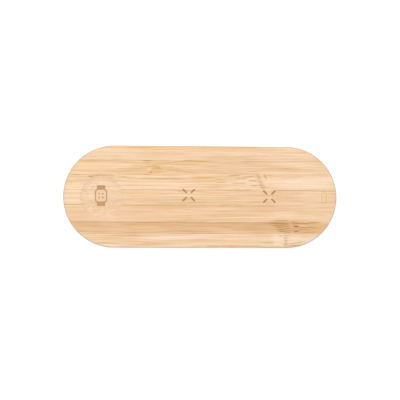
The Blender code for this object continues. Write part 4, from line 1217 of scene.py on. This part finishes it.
paint(makeBoardMaterial(), "main_board", "light_board")
paint(makeWireMaterial(), "winding")
paint(resinMaterial, "chip")
paint(ferriteMaterial, "ferrite", "inductor")
paint(foamMaterial, "adhesive")
paint(screwMaterial, "board_screw")
paint(magnetMaterial, "magnet")
paint(blackMaterial, "light_holder")
paint(jacketMaterial, "cable")
paint(makeLampMaterial(), "lamp")
for name in nodes:
    if "capacitor" in name:
        paint(makeCapacitor(name), name)
print("inner pieces painted")

# floor, light and world, in metres
studio = {
    "worldLight": 0.55,
    "lampPower": 9.0,
    "lampSize": (1.0, 0.7),
    "lampAt": (-0.15, 0.35, 1.25),
    "floorSize": 12.0,
    "floorColour": (0.5, 0.5, 0.5, 1),
    "floorGlow": 0.73,
}


def most(first, *others):
    for other in others:
        first = calc("MAXIMUM", first, other)
    return first


def makeWorld():
    world = bpy.data.worlds.new("studio")
    bpy.context.scene.world = world
    world.use_nodes = True
    tree = world.node_tree
    seen = tree.nodes.new("ShaderNodeLightPath").outputs
    shown = most(seen["Is Camera Ray"], seen["Is Glossy Ray"], seen["Is Transmission Ray"])
    strength = plus(times(shown, 1 - studio["worldLight"]), studio["worldLight"])
    sky = tree.nodes["Background"]
    sky.inputs["Color"].default_value = (1, 1, 1, 1)
    tree.links.new(strength, sky.inputs["Strength"])


def makeSoftbox():
    lamp = bpy.data.lights.new("softbox", "AREA")
    lamp.shape = "RECTANGLE"
    lamp.size, lamp.size_y = studio["lampSize"]
    lamp.energy = studio["lampPower"]
    holder = newObject("softbox", lamp)
    holder.location = studio["lampAt"]
    holder.rotation_euler = (-Vector(studio["lampAt"])).to_track_quat("-Z", "Y").to_euler()


def makeFloor():
    material = bpy.data.materials.new("floorPaper")
    material.use_nodes = True
    tree = material.node_tree
    tree.nodes.clear()
    paper = addNode(tree, "ShaderNodeBsdfDiffuse", {"Color": studio["floorColour"]}).outputs[0]
    glow = addNode(tree, "ShaderNodeEmission", {"Strength": studio["floorGlow"]}).outputs[0]
    seen = tree.nodes.new("ShaderNodeLightPath").outputs
    shown = most(seen["Is Camera Ray"], seen["Is Glossy Ray"])
    dark = addNode(tree, "ShaderNodeEmission", {"Strength": 0.0}).outputs[0]
    lit = grow("ShaderNodeMixShader", {0: shown, 1: dark, 2: glow}).outputs[0]
    both = grow("ShaderNodeAddShader", {0: paper, 1: lit}).outputs[0]
    clear = tree.nodes.new("ShaderNodeBsdfTransparent").outputs[0]
    # soft light from below passes through it
    under = tree.nodes.new("ShaderNodeNewGeometry").outputs["Backfacing"]
    under = most(under, seen["Is Shadow Ray"], seen["Is Diffuse Ray"])
    whole = grow("ShaderNodeMixShader", {0: under, 1: both, 2: clear}).outputs[0]
    tree.links.new(whole, tree.nodes.new("ShaderNodeOutputMaterial").inputs[0])
    shape = bmesh.new()
    bmesh.ops.create_grid(shape, x_segments=1, y_segments=1, size=studio["floorSize"] / 2 / mm)
    floor = makePiece("floor", shape, material, closed=False)


makeWorld()
makeSoftbox()
makeFloor()
bpy.context.scene.view_settings.view_transform = "Standard"
print("studio ready")
